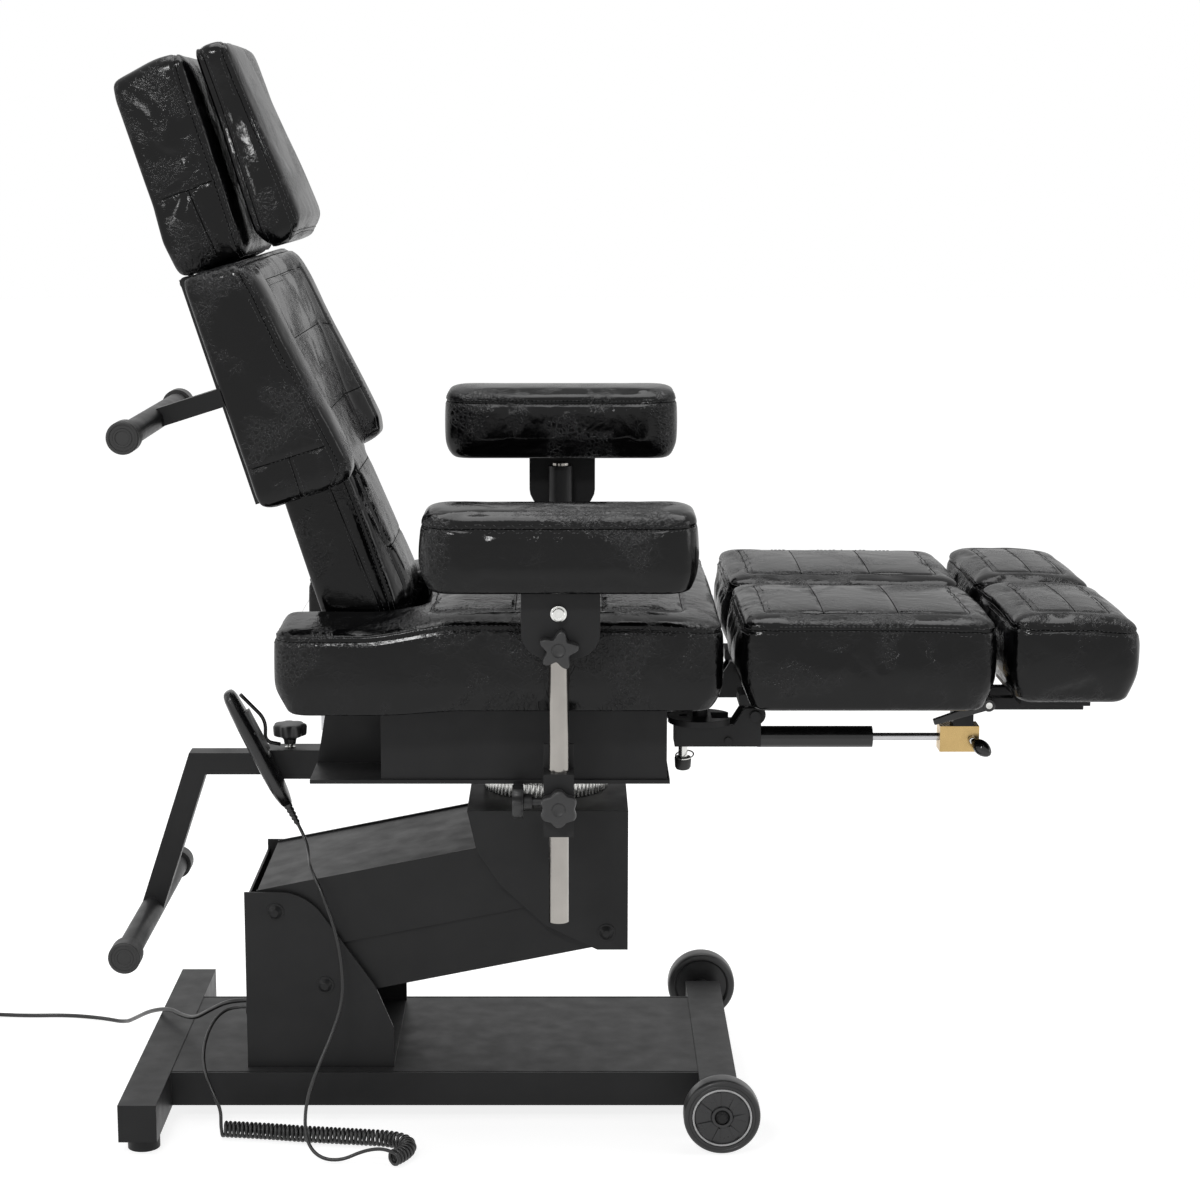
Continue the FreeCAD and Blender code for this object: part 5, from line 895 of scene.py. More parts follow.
# %% Legs and feet
PAD_HALF = 0.1385
PAD_CORNER, PAD_ROUND, PAD_TUCK_HIGH = 0.022, 0.011, 0.06
PAD_DROP_BEHIND = 0.02
PAD_EDGE_OUT, PAD_EDGE_ROUND, PAD_EDGE_DROP = 0.002, 0.024, 0.010
PANEL_IN_X, PANEL_IN_Y, PANEL_ROUND = 0.030, 0.034, 0.012


def leg_shape(low, high, middle, front_drop, end_round):
    centre = (low[0] + high[0]) / 2

    def shape(x, y, z):
        upper = ease(z, low[2] + 0.04, high[2] - 0.005)
        crown = CROWN * np.clip(1 - ((y - middle) / PAD_HALF) ** 2, 0, 1)
        drop = front_drop * ease(x, centre - PAD_DROP_BEHIND, high[0]) ** 2
        z = z + upper * (crown - drop)
        x, y, z = tucked(x, y, z, (centre, middle), low[2], end_round, PAD_TUCK_HIGH)
        return np.stack([x, y, z], 1)
    return shape


# For each pad: its name, body and frame piece, both ends, underside, top, front drop, tuck and cross seams.
LEG_PADS = (("leg_pad_", "leg_", "leg_cushion_", 0.1680, 0.4895, 0.5885, 0.7045, 0.003, 0.012,
             (0.272, 0.366)),
            ("foot_pad_", "foot_", None, 0.5065, 0.6650, 0.6000, 0.7060, 0.006, 0.012, (0.588,)))
for label, side in SIDES:
    middle = side * LEG_MIDDLE
    near_y, far_y = middle - PAD_HALF, middle + PAD_HALF
    for word, body, node, rear, front, base, top, drop, tuck, crosses in LEG_PADS:
        low, high = (rear, near_y, base), (front, far_y, top)
        centre = (rear + front) / 2

        def edge_height(x):
            return top - PAD_EDGE_DROP - drop * float(ease(x, centre - PAD_DROP_BEHIND, front)) ** 2

        edge = ring((rear - PAD_EDGE_OUT, near_y - PAD_EDGE_OUT),
                    (front + PAD_EDGE_OUT, far_y + PAD_EDGE_OUT), PAD_EDGE_ROUND, edge_height)
        panel_near, panel_far = near_y + PANEL_IN_Y, far_y - PANEL_IN_Y
        panel = ring((rear + PANEL_IN_X, panel_near), (front - PANEL_IN_X, panel_far), PANEL_ROUND,
                     PANEL_ABOVE)
        seams = [(edge, SEAM_DEPTH), (panel, SEAM_DEPTH)]
        for x in crosses:
            seams.append(([(x, panel_near, PANEL_ABOVE), (x, panel_far, PANEL_ABOVE)],
                          CROSS_SHARE * SEAM_DEPTH))
        cushion(word + label, block(word, low, high, PAD_CORNER, PAD_ROUND),
                leg_shape(low, high, middle, drop, tuck), FLAT, body + label,
                [node + label] if node else [], PUFF, seams, [(edge, DOUBLE), (panel, SINGLE)])

# %% [markdown]
# ## The back cushion
# The back is one T-shaped cushion: wide at the shoulders, narrow at the waist, with bolsters at both sides
# that grow towards their lower ends. Two blocks joined before the net is made give one skin, and heights
# read from curves along the back shape its front. Its quilting is pressed in like the other seams.

# %% Back
SHOULDER_LOW, SHOULDER_HIGH = (0.300, -0.2845, 0.0085), (0.5995, 0.2845, 0.104)
WAIST_LOW, WAIST_HIGH = (0.101, -0.1325, 0.017), (0.33, 0.1325, 0.1032)
CENTRE_FRONT = ((0.10, 0.129), (0.13, 0.130), (0.22, 0.120), (0.28, 0.114), (0.30, 0.111), (0.33, 0.105),
                (0.39, 0.098), (0.49, 0.094), (0.55, 0.089), (0.60, 0.081))
BOLSTER_FRONT = ((0.293, 0.113), (0.307, 0.126), (0.33, 0.129), (0.38, 0.121), (0.49, 0.103), (0.55, 0.095),
                 (0.585, 0.088), (0.60, 0.080))
WAIST_FALL = ((0.10, 0.016), (0.13, 0.016), (0.22, 0.008), (0.28, 0.005))
BOLSTER_LINE = 0.196


def along(curve, x):
    places, heights = zip(*curve)
    return np.interp(x, places, heights)


def back_front(x, y):
    """Height of the back's front face."""
    side = ease(np.abs(y), 0.170, 0.215)
    waist = 1 - ease(x, 0.296, 0.304)
    centre = along(CENTRE_FRONT, x) - waist * along(WAIST_FALL, x) * ease(np.abs(y), 0.06, 0.133)
    return centre + (1 - waist) * side * (along(BOLSTER_FRONT, x) - centre)


def back_shape(x, y, z):
    front = ease(z, 0.055, 0.104)
    z = z + front * (back_front(x, y) - 0.104)
    return np.stack([x, y, z], 1)


def mirrored(points):
    return [(x, -y, z) for x, y, z in points]


back_form = merged(block("shoulder_form", SHOULDER_LOW, SHOULDER_HIGH, 0.016, 0.011),
                   block("waist_form", WAIST_LOW, WAIST_HIGH, 0.010, 0.010), "UNION")
back_form = merged(back_form, block("channel", (0.0, -0.096, -0.05), (0.298, 0.096, 0.0440)), "DIFFERENCE")
bolster_side = [(x, 0.288, along(BOLSTER_FRONT, x) - 0.010) for x in np.linspace(0.318, 0.585, 24)]
bolster_edge = ([(0.300, y, 0.100) for y in (0.150, 0.20, 0.25, 0.272)] + bolster_side
                + [(0.601, y, 0.084) for y in (0.270, 0.20, 0.10, 0.0)])
waist_edge = [(x, 0.136, along(CENTRE_FRONT, x) - along(WAIST_FALL, x) - 0.008)
              for x in np.linspace(0.104, 0.298, 12)]
waist_strip = [(0.103, 0.136, 0.093), (0.30, 0.136, 0.078)]
panel_line = [(0.575, 0.0, 0.14), (0.575, BOLSTER_LINE, 0.14), (0.312, BOLSTER_LINE, 0.16)]
waist_line = [(0.296, 0.105, 0.16), (0.112, 0.105, 0.17)]
side_stitch = [(0.352, 0.290, 0.012), (0.352, 0.290, 0.111)]
side_strip = [(0.352, 0.290, 0.063), (0.305, 0.290, 0.062), (0.300, 0.20, 0.062)]
back_seams, back_stitched = [], []
for line, depth, offsets in ((bolster_edge, SEAM_DEPTH, DOUBLE), (waist_edge, SEAM_DEPTH, DOUBLE),
                             (waist_strip, SIDE_SHARE * SEAM_DEPTH, DOUBLE),
                             (panel_line, PANEL_SHARE * SEAM_DEPTH, SINGLE),
                             (waist_line, SEAM_DEPTH, SINGLE), (side_stitch, SIDE_SHARE * SEAM_DEPTH, SINGLE),
                             (side_strip, SIDE_SHARE * SEAM_DEPTH, DOUBLE)):
    for path in (line, mirrored(line)):
        back_seams.append((path, depth))
        back_stitched.append((path, offsets))
for x, half in ((0.487, BOLSTER_LINE), (0.387, BOLSTER_LINE), (0.300, BOLSTER_LINE), (0.190, 0.105)):
    back_seams.append(([(x, -half, 0.17), (x, half, 0.17)], CROSS_SHARE * SEAM_DEPTH))
cushion("back_pad", back_form, back_shape, BACK, "back", ["back_cushion"], PUFF, back_seams, back_stitched)

# %% [markdown]
# ## The headrest
# A deep rear pad carries the front pillow, which is thicker at its chin and a little waisted. The two are
# separate cushions with a narrow dark gap between them.

# %% Headrest
HEAD_LOW, HEAD_HIGH = (0.5990, -0.1475, -0.0190), (0.8680, 0.1475, 0.0765)
HEAD_REAR = ((0.605, 0.004), (0.648, -0.002), (0.695, 0.001), (0.838, 0.000), (0.866, 0.003))
PILLOW_LOW, PILLOW_HIGH = (0.6000, -0.1435, 0.0935), (0.8670, 0.1435, 0.1330)
PILLOW_CHIN = ((0.089, 0.024), (0.110, -0.001), (0.135, 0.001), (0.152, 0.016))
PILLOW_WAIST, PILLOW_WAIST_AT, PILLOW_WAIST_LONG = 0.09, 0.78, 0.055


def head_shape(x, y, z):
    rear = 1 - ease(z, -0.01, 0.03)
    front = ease(z, 0.03, 0.075)
    top = ease(x, 0.80, 0.86)
    z = z + rear * along(HEAD_REAR, x) + front * 0.002 * np.clip(1 - (y / 0.14) ** 2, 0, 1)
    x = x - top * 0.008 * (1 - ease(z, -0.01, 0.05))
    return np.stack([x, y, z], 1)


def pillow_narrowing(x):
    return 1 - PILLOW_WAIST * np.exp(-((x - PILLOW_WAIST_AT) / PILLOW_WAIST_LONG) ** 2)


def pillow_rise(x):
    return 0.018 * (1 - ease(x, 0.60, 0.86))


def pillow_shape(x, y, z):
    y = y * pillow_narrowing(x)
    z = z + ease(z, 0.105, 0.133) * (pillow_rise(x) + 0.002 * np.clip(1 - (y / 0.12) ** 2, 0, 1))
    x = x + along(PILLOW_CHIN, z) * (1 - ease(x, 0.600, 0.655))
    return np.stack([x, y, z], 1)


head_edge = ring((0.601, -0.149), (0.859, 0.149), 0.02, 0.066)
head_seams, head_stitched = [(head_edge, SEAM_DEPTH)], [(head_edge, DOUBLE)]
for half in (0.150, -0.150):
    cross = [(0.700, half, -0.004), (0.703, half, 0.064)]
    strip = [(0.700, half, 0.031), (0.606, half, 0.040)]
    head_seams += [(cross, SIDE_SHARE * SEAM_DEPTH), (strip, SIDE_SHARE * SEAM_DEPTH)]
    head_stitched += [(cross, SINGLE), (strip, DOUBLE)]
cushion("head_rear_pad", block("head_form", HEAD_LOW, HEAD_HIGH, 0.016, 0.010), head_shape, BACK, "head",
        ["head_pad"], PUFF_HEAD, head_seams, head_stitched)


def pillow_ring(height):
    points = ring((0.603, -0.145), (0.859, 0.145), 0.02, height)
    return [(x, y * float(pillow_narrowing(x)), z) for x, y, z in points]


pillow_edge = pillow_ring(lambda x: 0.1270 + float(pillow_rise(x)))
pillow_back = pillow_ring(0.1015)
cushion("head_pillow_pad", block("pillow_form", PILLOW_LOW, PILLOW_HIGH, 0.016, 0.009), pillow_shape,
        BACK, "head", ["head_pillow"], PUFF_HEAD,
        [(pillow_edge, SEAM_DEPTH), (pillow_back, SIDE_SHARE * SEAM_DEPTH)],
        [(pillow_edge, DOUBLE), (pillow_back, SINGLE)])

# %% [markdown]
# ## The armrest cushions
# An armrest is a plain long pad with round ends. The far one stands higher, because its post is drawn out
# further.

# %% Armrests
ARM_MIDDLE = 0.310
ARM_HALF = 0.0645
ARM_LOW, ARM_TOP = 0.7545, 0.8470
ARM_REAR, ARM_FRONT = -0.2260, 0.1080
ARM_CROWN, ARM_TUCK = 0.0035, 0.005
ARM_CORNER, ARM_ROUND = 0.03, 0.010
ARM_NET = 0.0055
ARM_UPPER, ARM_CENTRE = (0.79, 0.845), -0.059
ARM_TUCK_FROM, ARM_TUCK_HIGH = 0.7565, 0.03
ARM_EDGE_OUT_X, ARM_EDGE_OUT_Y, ARM_EDGE_DROP = 0.0015, 0.001, 0.0125
arm_rises = {"near": 0.0, "far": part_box("armrest_far")[1].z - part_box("armrest_near")[1].z}
for label, side in SIDES:
    rise = arm_rises[label]
    near_y, far_y = side * ARM_MIDDLE - ARM_HALF, side * ARM_MIDDLE + ARM_HALF

    def arm_shape(x, y, z):
        crown = np.clip(1 - ((y - side * ARM_MIDDLE) / ARM_HALF) ** 2, 0, 1)
        z = z + ease(z, ARM_UPPER[0] + rise, ARM_UPPER[1] + rise) * ARM_CROWN * crown
        x, y, z = tucked(x, y, z, (ARM_CENTRE, side * ARM_MIDDLE), ARM_TUCK_FROM + rise, ARM_TUCK,
                         ARM_TUCK_HIGH)
        return np.stack([x, y, z], 1)

    edge = ring((ARM_REAR - ARM_EDGE_OUT_X, near_y - ARM_EDGE_OUT_Y),
                (ARM_FRONT + ARM_EDGE_OUT_X, far_y + ARM_EDGE_OUT_Y), ARM_CORNER,
                ARM_TOP - ARM_EDGE_DROP + rise)
    form = block("arm_form", (ARM_REAR, near_y, ARM_LOW + rise), (ARM_FRONT, far_y, ARM_TOP + rise),
                 ARM_CORNER, ARM_ROUND)
    cushion("arm_pad_" + label, form, arm_shape, FLAT, "armrest_" + label, [], PUFF_ARM,
            [(edge, SEAM_DEPTH)], [(edge, DOUBLE)], voxel=ARM_NET)

# %% [markdown]
# ## Steel parts that share a frame piece with a pad
# In the frame an armrest is one piece, pad and slotted plate together, and so is a foot rest with its
# slide. The pads are sewn cushions now, so a copy of each frame piece keeps only its steel. The armrest's
# plate is then trimmed to its round-cornered outline by a boolean with a rounded block.


# %% Keeping the steel
STEEL_EDGE = 0.0008


def loose_parts(mesh):
    """The loose parts of a mesh, each a list of vertices."""
    seen, groups = set(), []
    for vertex in mesh.verts:
        if vertex in seen:
            continue
        group, stack = [], [vertex]
        seen.add(vertex)
        while stack:
            one = stack.pop()
            group.append(one)
            for line in one.link_edges:
                other = line.other_vert(one)
                if other not in seen:
                    seen.add(other)
                    stack.append(other)
        groups.append(group)
    return groups


def keep_steel(node, name, body, keep, trim=None):
    """A copy of the loose parts of a frame piece whose two corners satisfy the test stands for the piece."""
    copy = nodes[node].copy()
    copy.data = nodes[node].data.copy()
    copy.parent = None
    copy.name = name
    scene.collection.objects.link(copy)
    for key in [key for key in copy.keys() if key.startswith("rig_")]:
        del copy[key]
    mesh = bmesh.new()
    mesh.from_mesh(copy.data)
    bmesh.ops.remove_doubles(mesh, verts=mesh.verts, dist=1e-6)
    spare = []
    for group in loose_parts(mesh):
        low = Vector([min(vertex.co[axis] for vertex in group) for axis in range(3)])
        high = Vector([max(vertex.co[axis] for vertex in group) for axis in range(3)])
        if not keep(low, high):
            spare += group
    bmesh.ops.delete(mesh, geom=spare, context="VERTS")
    mesh.to_mesh(copy.data)
    mesh.free()
    if trim:
        merged(copy, trim, "INTERSECT")
    round_edges(copy, STEEL_EDGE, 2)
    finish_piece(copy, STEEL)
    set_down(copy, FLAT, body, "black_steel", node)


PLATE_LOW = 0.667
PLATE_ROUND = 0.034
PLATE_ENDS = (-0.1065, -0.0085)
PLATE_THIN = 0.05
SLIDE_TOP = 0.62
for label, side in SIDES:
    trim = block("plate_outline", (PLATE_ENDS[0], PLATE_LOW, -0.4), (PLATE_ENDS[1], 0.90, 0.4), PLATE_ROUND)
    trim.data.transform(Matrix.Translation((0, 0, arm_rises[label])) @ Matrix.Rotation(math.pi / 2, 4, "X"))
    keep_steel("armrest_" + label, "arm_plate_" + label, "armrest_" + label,
               lambda low, high: high.y - low.y < PLATE_THIN, trim)
    keep_steel("foot_rest_" + label, "foot_slide_" + label, "foot_" + label,
               lambda low, high: high.z < SLIDE_TOP)

# %% [markdown]
# ## Wheels
# Each wheel has a soft tyre, a pale ring pressed into its side and a dark moulded hub with raised blades
# round a cap. One profile of rings turns the tyre and the hub together, and the finish of each face
# follows its radius. A blade is modelled once and copied round.

# %% Wheels
WHEEL_RINGS = [(0.005, 0.0060), (0.005, 0.0375), (0.0015, 0.0390), (0.0, 0.0410), (0.0, 0.0455),
               (0.0012, 0.0480), (0.0040, 0.0496), (0.0080, 0.0500), (0.0220, 0.0500), (0.0255, 0.0497),
               (0.0280, 0.0484), (0.0293, 0.0462), (0.0294, 0.0440), (0.0288, 0.0432), (0.0294, 0.0424),
               (0.0297, 0.0396), (0.0285, 0.0391), (0.0289, 0.0386), (0.0289, 0.0362), (0.0275, 0.0357),
               (0.0262, 0.0345), (0.0258, 0.0150), (0.0285, 0.0135), (0.0290, 0.0120), (0.0285, 0.0100),
               (0.0262, 0.0092), (0.0262, 0.0060), (0.005, 0.0060)]
BLADES = 7
TYRE_INNER, RING_INNER, TYRE_BACK = 0.0388, 0.0360, 0.01
BLADE_START, BLADE_LONG = 0.0155, 0.018


def wheel_finish(centre):
    radius = math.hypot(centre.x, centre.y)
    if radius > TYRE_INNER or centre.z < TYRE_BACK:
        return 0
    return 1 if radius > RING_INNER else 2


for label, side in SIDES:
    wheel = turned("wheel_body_" + label, WHEEL_RINGS, 96)
    colour_faces(wheel, (TYRE, RING, HUB), wheel_finish)
    blades = []
    for number in range(BLADES):
        blade = block("blade", (BLADE_START, -0.0028, 0.0245), (BLADE_START + BLADE_LONG, 0.0028, 0.0282),
                      0, 0.0006, 2)
        for vertex in blade.data.vertices:
            reach = (vertex.co.x - BLADE_START) / BLADE_LONG
            vertex.co.y *= 0.5 + 1.6 * reach
            vertex.co.z -= 0.0022 * reach * (1 if vertex.co.y > 0 else 0.2)
        finish_piece(blade, TYRE, RING, HUB, index=2)
        blade.data.transform(Matrix.Rotation(2 * math.pi * number / BLADES, 4, "Z"))
        blades.append(blade)
    wheel = join_up("wheel_tyre_" + label, [wheel] + blades)
    low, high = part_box("wheel_" + label)
    inner = low.y if side > 0 else high.y
    place = facing(((low.x + high.x) / 2, inner, (low.z + high.z) / 2), (0, side, 0))
    set_down(wheel, place, "wheel_" + label, "wheel_rubber", "wheel_" + label)
    print(wheel.name, len(wheel.data.polygons), "faces")

# %% [markdown]
# ## Star knobs
# The armrests are held by moulded knobs with five to seven lobes and a dished centre. Their lobes are a
# wave in the radius of the rings, which dies out towards the hub and the dish, so the whole knob is one
# closed skin.

# %% Star knobs
STAR_RADIUS = 0.0255
POST_X = -0.060
SCREW_RADIUS = 0.005


def star_rings(radius, high, lead, hub=0.012):
    """A screw of the lead's length, then a hub, and a lobed head with a dished face."""
    return [(-lead, 0.0), (-lead, SCREW_RADIUS), (-0.0005, SCREW_RADIUS), (-0.0005, hub),
            (0.0015, hub + 0.001), (0.0022, radius - 0.002, 0.9), (0.0040, radius - 0.0004, 1),
            (0.0070, radius, 1), (high - 0.004, radius, 1), (high - 0.0015, radius - 0.0010, 1),
            (high - 0.0003, radius - 0.0028, 0.95), (high, radius - 0.0050, 0.9), (high, 0.0090),
            (high - 0.0012, 0.0080), (high - 0.0026, 0.0060), (high - 0.0030, 0.0)]


def knob(name, place, way, spin, body, node, rings, lobes, depth, flat=0.9):
    piece = turned(name, rings, 120, star(lobes, depth, flat))
    finish_piece(piece, PLASTIC)
    set_down(piece, facing(place, way) @ Matrix.Rotation(math.radians(spin), 4, "Z"), body,
             "black_plastic", node)


for label, side in SIDES:
    rise = arm_rises[label]
    knob("bracket_star_" + label, (POST_X, side * 0.3336, 0.681 + rise), (0, side, 0), 80,
         "bracket_knob_" + label, "bracket_knob_" + label, star_rings(STAR_RADIUS, 0.018, 0.0205), 5,
         0.40)
    knob("post_star_" + label, (POST_X, side * 0.3313, 0.4803), (0, side, 0), 90, "post_knob_" + label,
         "post_knob_" + label, star_rings(0.0238, 0.0175, 0.0085), 6, 0.16, 1.3)
    knob("bar_star_" + label, (-0.1059, side * 0.229, 0.460), (-1, 0, 0), 10, "bar_knob_" + label,
         "bar_knob_" + label, [(-0.033, 0.0), (-0.033, SCREW_RADIUS), (-0.011, SCREW_RADIUS),
                               (-0.011, 0.0095), (-0.001, 0.0105), (0.0, 0.0215, 0.9),
                               (0.0020, 0.0230, 1), (0.0120, 0.0230, 1), (0.0140, 0.0212, 0.9),
                               (0.0140, 0.0)], 7, 0.14)
    screw = turned("tilt_screw_" + label, [(0.0, 0.0075), (0.0, 0.0096), (0.0008, 0.0100),
                                           (0.0020, 0.0100), (0.0024, 0.0094), (0.0024, 0.0080),
                                           (0.0090, 0.0080), (0.0098, 0.0072), (0.0099, 0.0044, 0.9),
                                           (0.0093, 0.0042, 1), (0.0092, 0.0, 1)], 96, star(6, 0.14))
    finish_piece(screw, SCREW)
    set_down(screw, facing((POST_X, side * 0.3338, 0.724 + rise), (0, side, 0)), "arm_bracket_" + label,
             "dark_steel")
    print("knobs of the", label, "armrest")

# %% [markdown]
# ## The foot bar's clamp knob
# This knob stands upright on the foot bar: a nut, a bare stretch of screw, a stem and a lobed head like a
# crown. It is turned from one profile like the others, and the faces of its screw are bright.

# %% Clamp knob
CLAMP_RINGS = [(0.0, 0.0), (0.0, 0.0105), (0.0045, 0.0100), (0.0060, 0.0070), (0.0066, 0.0042),
               (0.0100, 0.0042), (0.0105, 0.0078), (0.0170, 0.0090), (0.0200, 0.0125, 0.3),
               (0.0215, 0.0190, 0.7), (0.0228, 0.0222, 1), (0.0250, 0.0230, 1), (0.0345, 0.0236, 1),
               (0.0370, 0.0228, 1), (0.0382, 0.0205, 0.9), (0.0385, 0.0180, 0.8), (0.0378, 0.0)]
crown = turned("step_crown", CLAMP_RINGS, 140, star(7, 0.15, 1.4))
colour_faces(crown, (PLASTIC, SCREW), lambda centre: int(0.0061 < centre.z < 0.0104))
set_down(crown, facing((-0.430, 0, 0.4718), (0, 0, 1), (0, 1, 0)), "step_knob", "black_plastic", "step_knob")

# %% [markdown]
# ## The hand control
# A thin paddle with a soft round section, wide at its middle and narrow at both ends, with a ribbed sleeve
# where its cord leaves. A scaled box would keep hard corners, so it is turned from rings too, each with a
# width, and a rounded section squeezed to its thickness. The rocker on its face is the frame's own piece.

# %% Hand control
HAND_TILT = math.radians(63.6)
HAND_ALONG = Vector((math.cos(HAND_TILT), 0, -math.sin(HAND_TILT)))
HAND_FACE = Vector((math.sin(HAND_TILT), 0, math.cos(HAND_TILT)))
HAND_PLACE = Vector((-0.498, -0.046, 0.570)) - HAND_FACE * 0.011
PADDLE = [(0.0, 0.0, 0.0), (0.0, 0.0070, 0.0035), (0.0012, 0.0115, 0.0056), (0.0045, 0.0155, 0.0074),
          (0.011, 0.0185, 0.0088), (0.028, 0.0205, 0.0098), (0.055, 0.0222, 0.0108),
          (0.090, 0.0228, 0.0110), (0.125, 0.0226, 0.0110), (0.145, 0.0212, 0.0106),
          (0.158, 0.0180, 0.0096), (0.167, 0.0132, 0.0084), (0.173, 0.0092, 0.0074),
          (0.1750, 0.0080, 0.0068)]
SLEEVE_START, SLEEVE_END = 0.1765, 0.2065
SLEEVE_RIBS = 5


def paddle_section(angle, ring):
    """A rounded section between an ellipse and a box; the relief's rings stay round."""
    power = 2.6 if ring[0] < 0.175 else 2.0
    across, up = abs(math.cos(angle)), abs(math.sin(angle))
    reach = ((across ** power) + (up ** power)) ** (-1 / power)
    return reach * ring[1], reach * ring[2]


rings = list(PADDLE) + [(0.1752, 0.0062, 0.0062), (SLEEVE_START, 0.0061, 0.0061)]
for number in range(SLEEVE_RIBS):
    start = SLEEVE_START + (SLEEVE_END - SLEEVE_START) * number / SLEEVE_RIBS
    wide = 0.0058 - 0.0022 * number / SLEEVE_RIBS
    for step, drop in ((0.0010, 0), (0.0032, 0.0001), (0.0040, 0.0011), (0.0056, 0.0012)):
        rings.append((start + step, wide - drop, wide - drop))
rings += [(SLEEVE_END, 0.0031, 0.0031), (SLEEVE_END + 0.0003, 0.0, 0.0)]
paddle = turned("hand_control", rings, 72, paddle_section)
finish_piece(paddle, HANDSET)
turn = Matrix((-HAND_FACE.cross(HAND_ALONG), HAND_FACE, HAND_ALONG)).transposed().to_4x4()
set_down(paddle, Matrix.Translation(HAND_PLACE) @ turn, "seat", "black_plastic", "handset")

# %% [markdown]
# ## Caps on the grips
# The rear grips and the foot bar's grips end in rubber caps whose faces have raised rings. A thin turned
# disc on each end gives the rings real depth.

# %% Grip caps
CAP_RINGS = [(-0.001, 0.0), (-0.001, 0.0206), (0.0004, 0.0204), (0.0014, 0.0192), (0.0014, 0.0170),
             (0.0004, 0.0163), (0.0004, 0.0125), (0.0012, 0.0119), (0.0012, 0.0095), (0.0003, 0.0088),
             (0.0003, 0.0)]
GRIP_END = 0.2308
CAPS = (("back", HINGE + Vector((-0.135 * math.cos(LEAN) - 0.434 * math.sin(LEAN), 0,
                                 -0.135 * math.sin(LEAN) + 0.434 * math.cos(LEAN)))),
        ("step_bar", Vector((-0.624, 0, 0.251))))
for body, place in CAPS:
    for label, side in SIDES:
        cap = turned(f"{body}_cap_{label}", CAP_RINGS, 64)
        finish_piece(cap, RUBBER)
        set_down(cap, facing(place + Vector((0, side * GRIP_END, 0)), (0, side, 0)), body, "wheel_rubber")

# %% [markdown]
# ## The swivel's toothed ring
# Under the seat a fine-toothed ring turns on the carriage. A smooth drum would miss its light and dark
# stripes, so its wall carries real teeth: a wave in the radius with one wave for each.

# %% Toothed ring
low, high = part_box("swivel_ring")
SWIVEL_RADIUS = (high.x - low.x) / 2
TEETH = 80
deep = high.z - low.z
teeth = turned("swivel_teeth", [(0, 0.0), (0, SWIVEL_RADIUS - 0.002), (0.001, SWIVEL_RADIUS, 1),
                                (deep - 0.006, SWIVEL_RADIUS, 1), (deep - 0.005, SWIVEL_RADIUS - 0.002),
                                (deep, SWIVEL_RADIUS - 0.003), (deep, 0.0)], TEETH * 6,
               star(TEETH, 0.022))
finish_piece(teeth, SCREW)
set_down(teeth, Matrix.Translation(((low.x + high.x) / 2, 0, low.z)), "carriage", "dark_steel",
         "swivel_ring")

# %% [markdown]
# ## Fittings of the leg rests
# A leg rest has a pull plunger that locks its sideways swing, a gas spring with a release knob, and a
# clamp lever for the foot slide. These are small, but they are bright against the black, so each gets its
# own shape: a split ring on the plunger, an oval knob on the release, and a tapered lever with a socket
# screw.

# %% Leg fittings
PLUNGER_RINGS = [(0.0, 0.0), (0.0, 0.0055), (0.0012, 0.0085), (0.0045, 0.0104), (0.0160, 0.0110),
                 (0.0180, 0.0100), (0.0184, 0.0062), (0.0330, 0.0058), (0.0334, 0.0090, 1),
                 (0.0405, 0.0090, 1), (0.0410, 0.0058), (0.0690, 0.0058), (0.0690, 0.0)]
KNOB_LONG, KNOB_WIDE = 0.030, 0.0098
HANDLE_LONG, HANDLE_HALF, HANDLE_ROUND, HANDLE_TAPER = 0.0735, 0.0066, 0.0015, 0.42
HANDLE_TURN = math.radians(180 + 18)
SOCKET_RADIUS, SOCKET_FROM = 0.0044, 0.01
HOOP_PLACE, HOOP_RADIUS, HOOP_THICK = (0.002, -0.003, 0.0205), 0.0118, 0.0010
HOOP_TURN = (math.radians(16), math.radians(-8), 0)


def oval_rings(long, wide, count=14):
    rings = [(-0.004, 0.0), (-0.004, 0.0038), (0.0, 0.0042)]
    for step in range(1, count + 1):
        share = step / count
        rings.append((long * share, wide * math.sin(math.pi * min(share * 0.94 + 0.06, 1.0)) ** 0.55, 0))
    return rings


def taper(piece, long, share):
    for vertex in piece.data.vertices:
        vertex.co.y *= 1 - share * vertex.co.x / long


def in_socket(centre):
    return int(math.hypot(centre.x, centre.y) < SOCKET_RADIUS and centre.z > SOCKET_FROM)


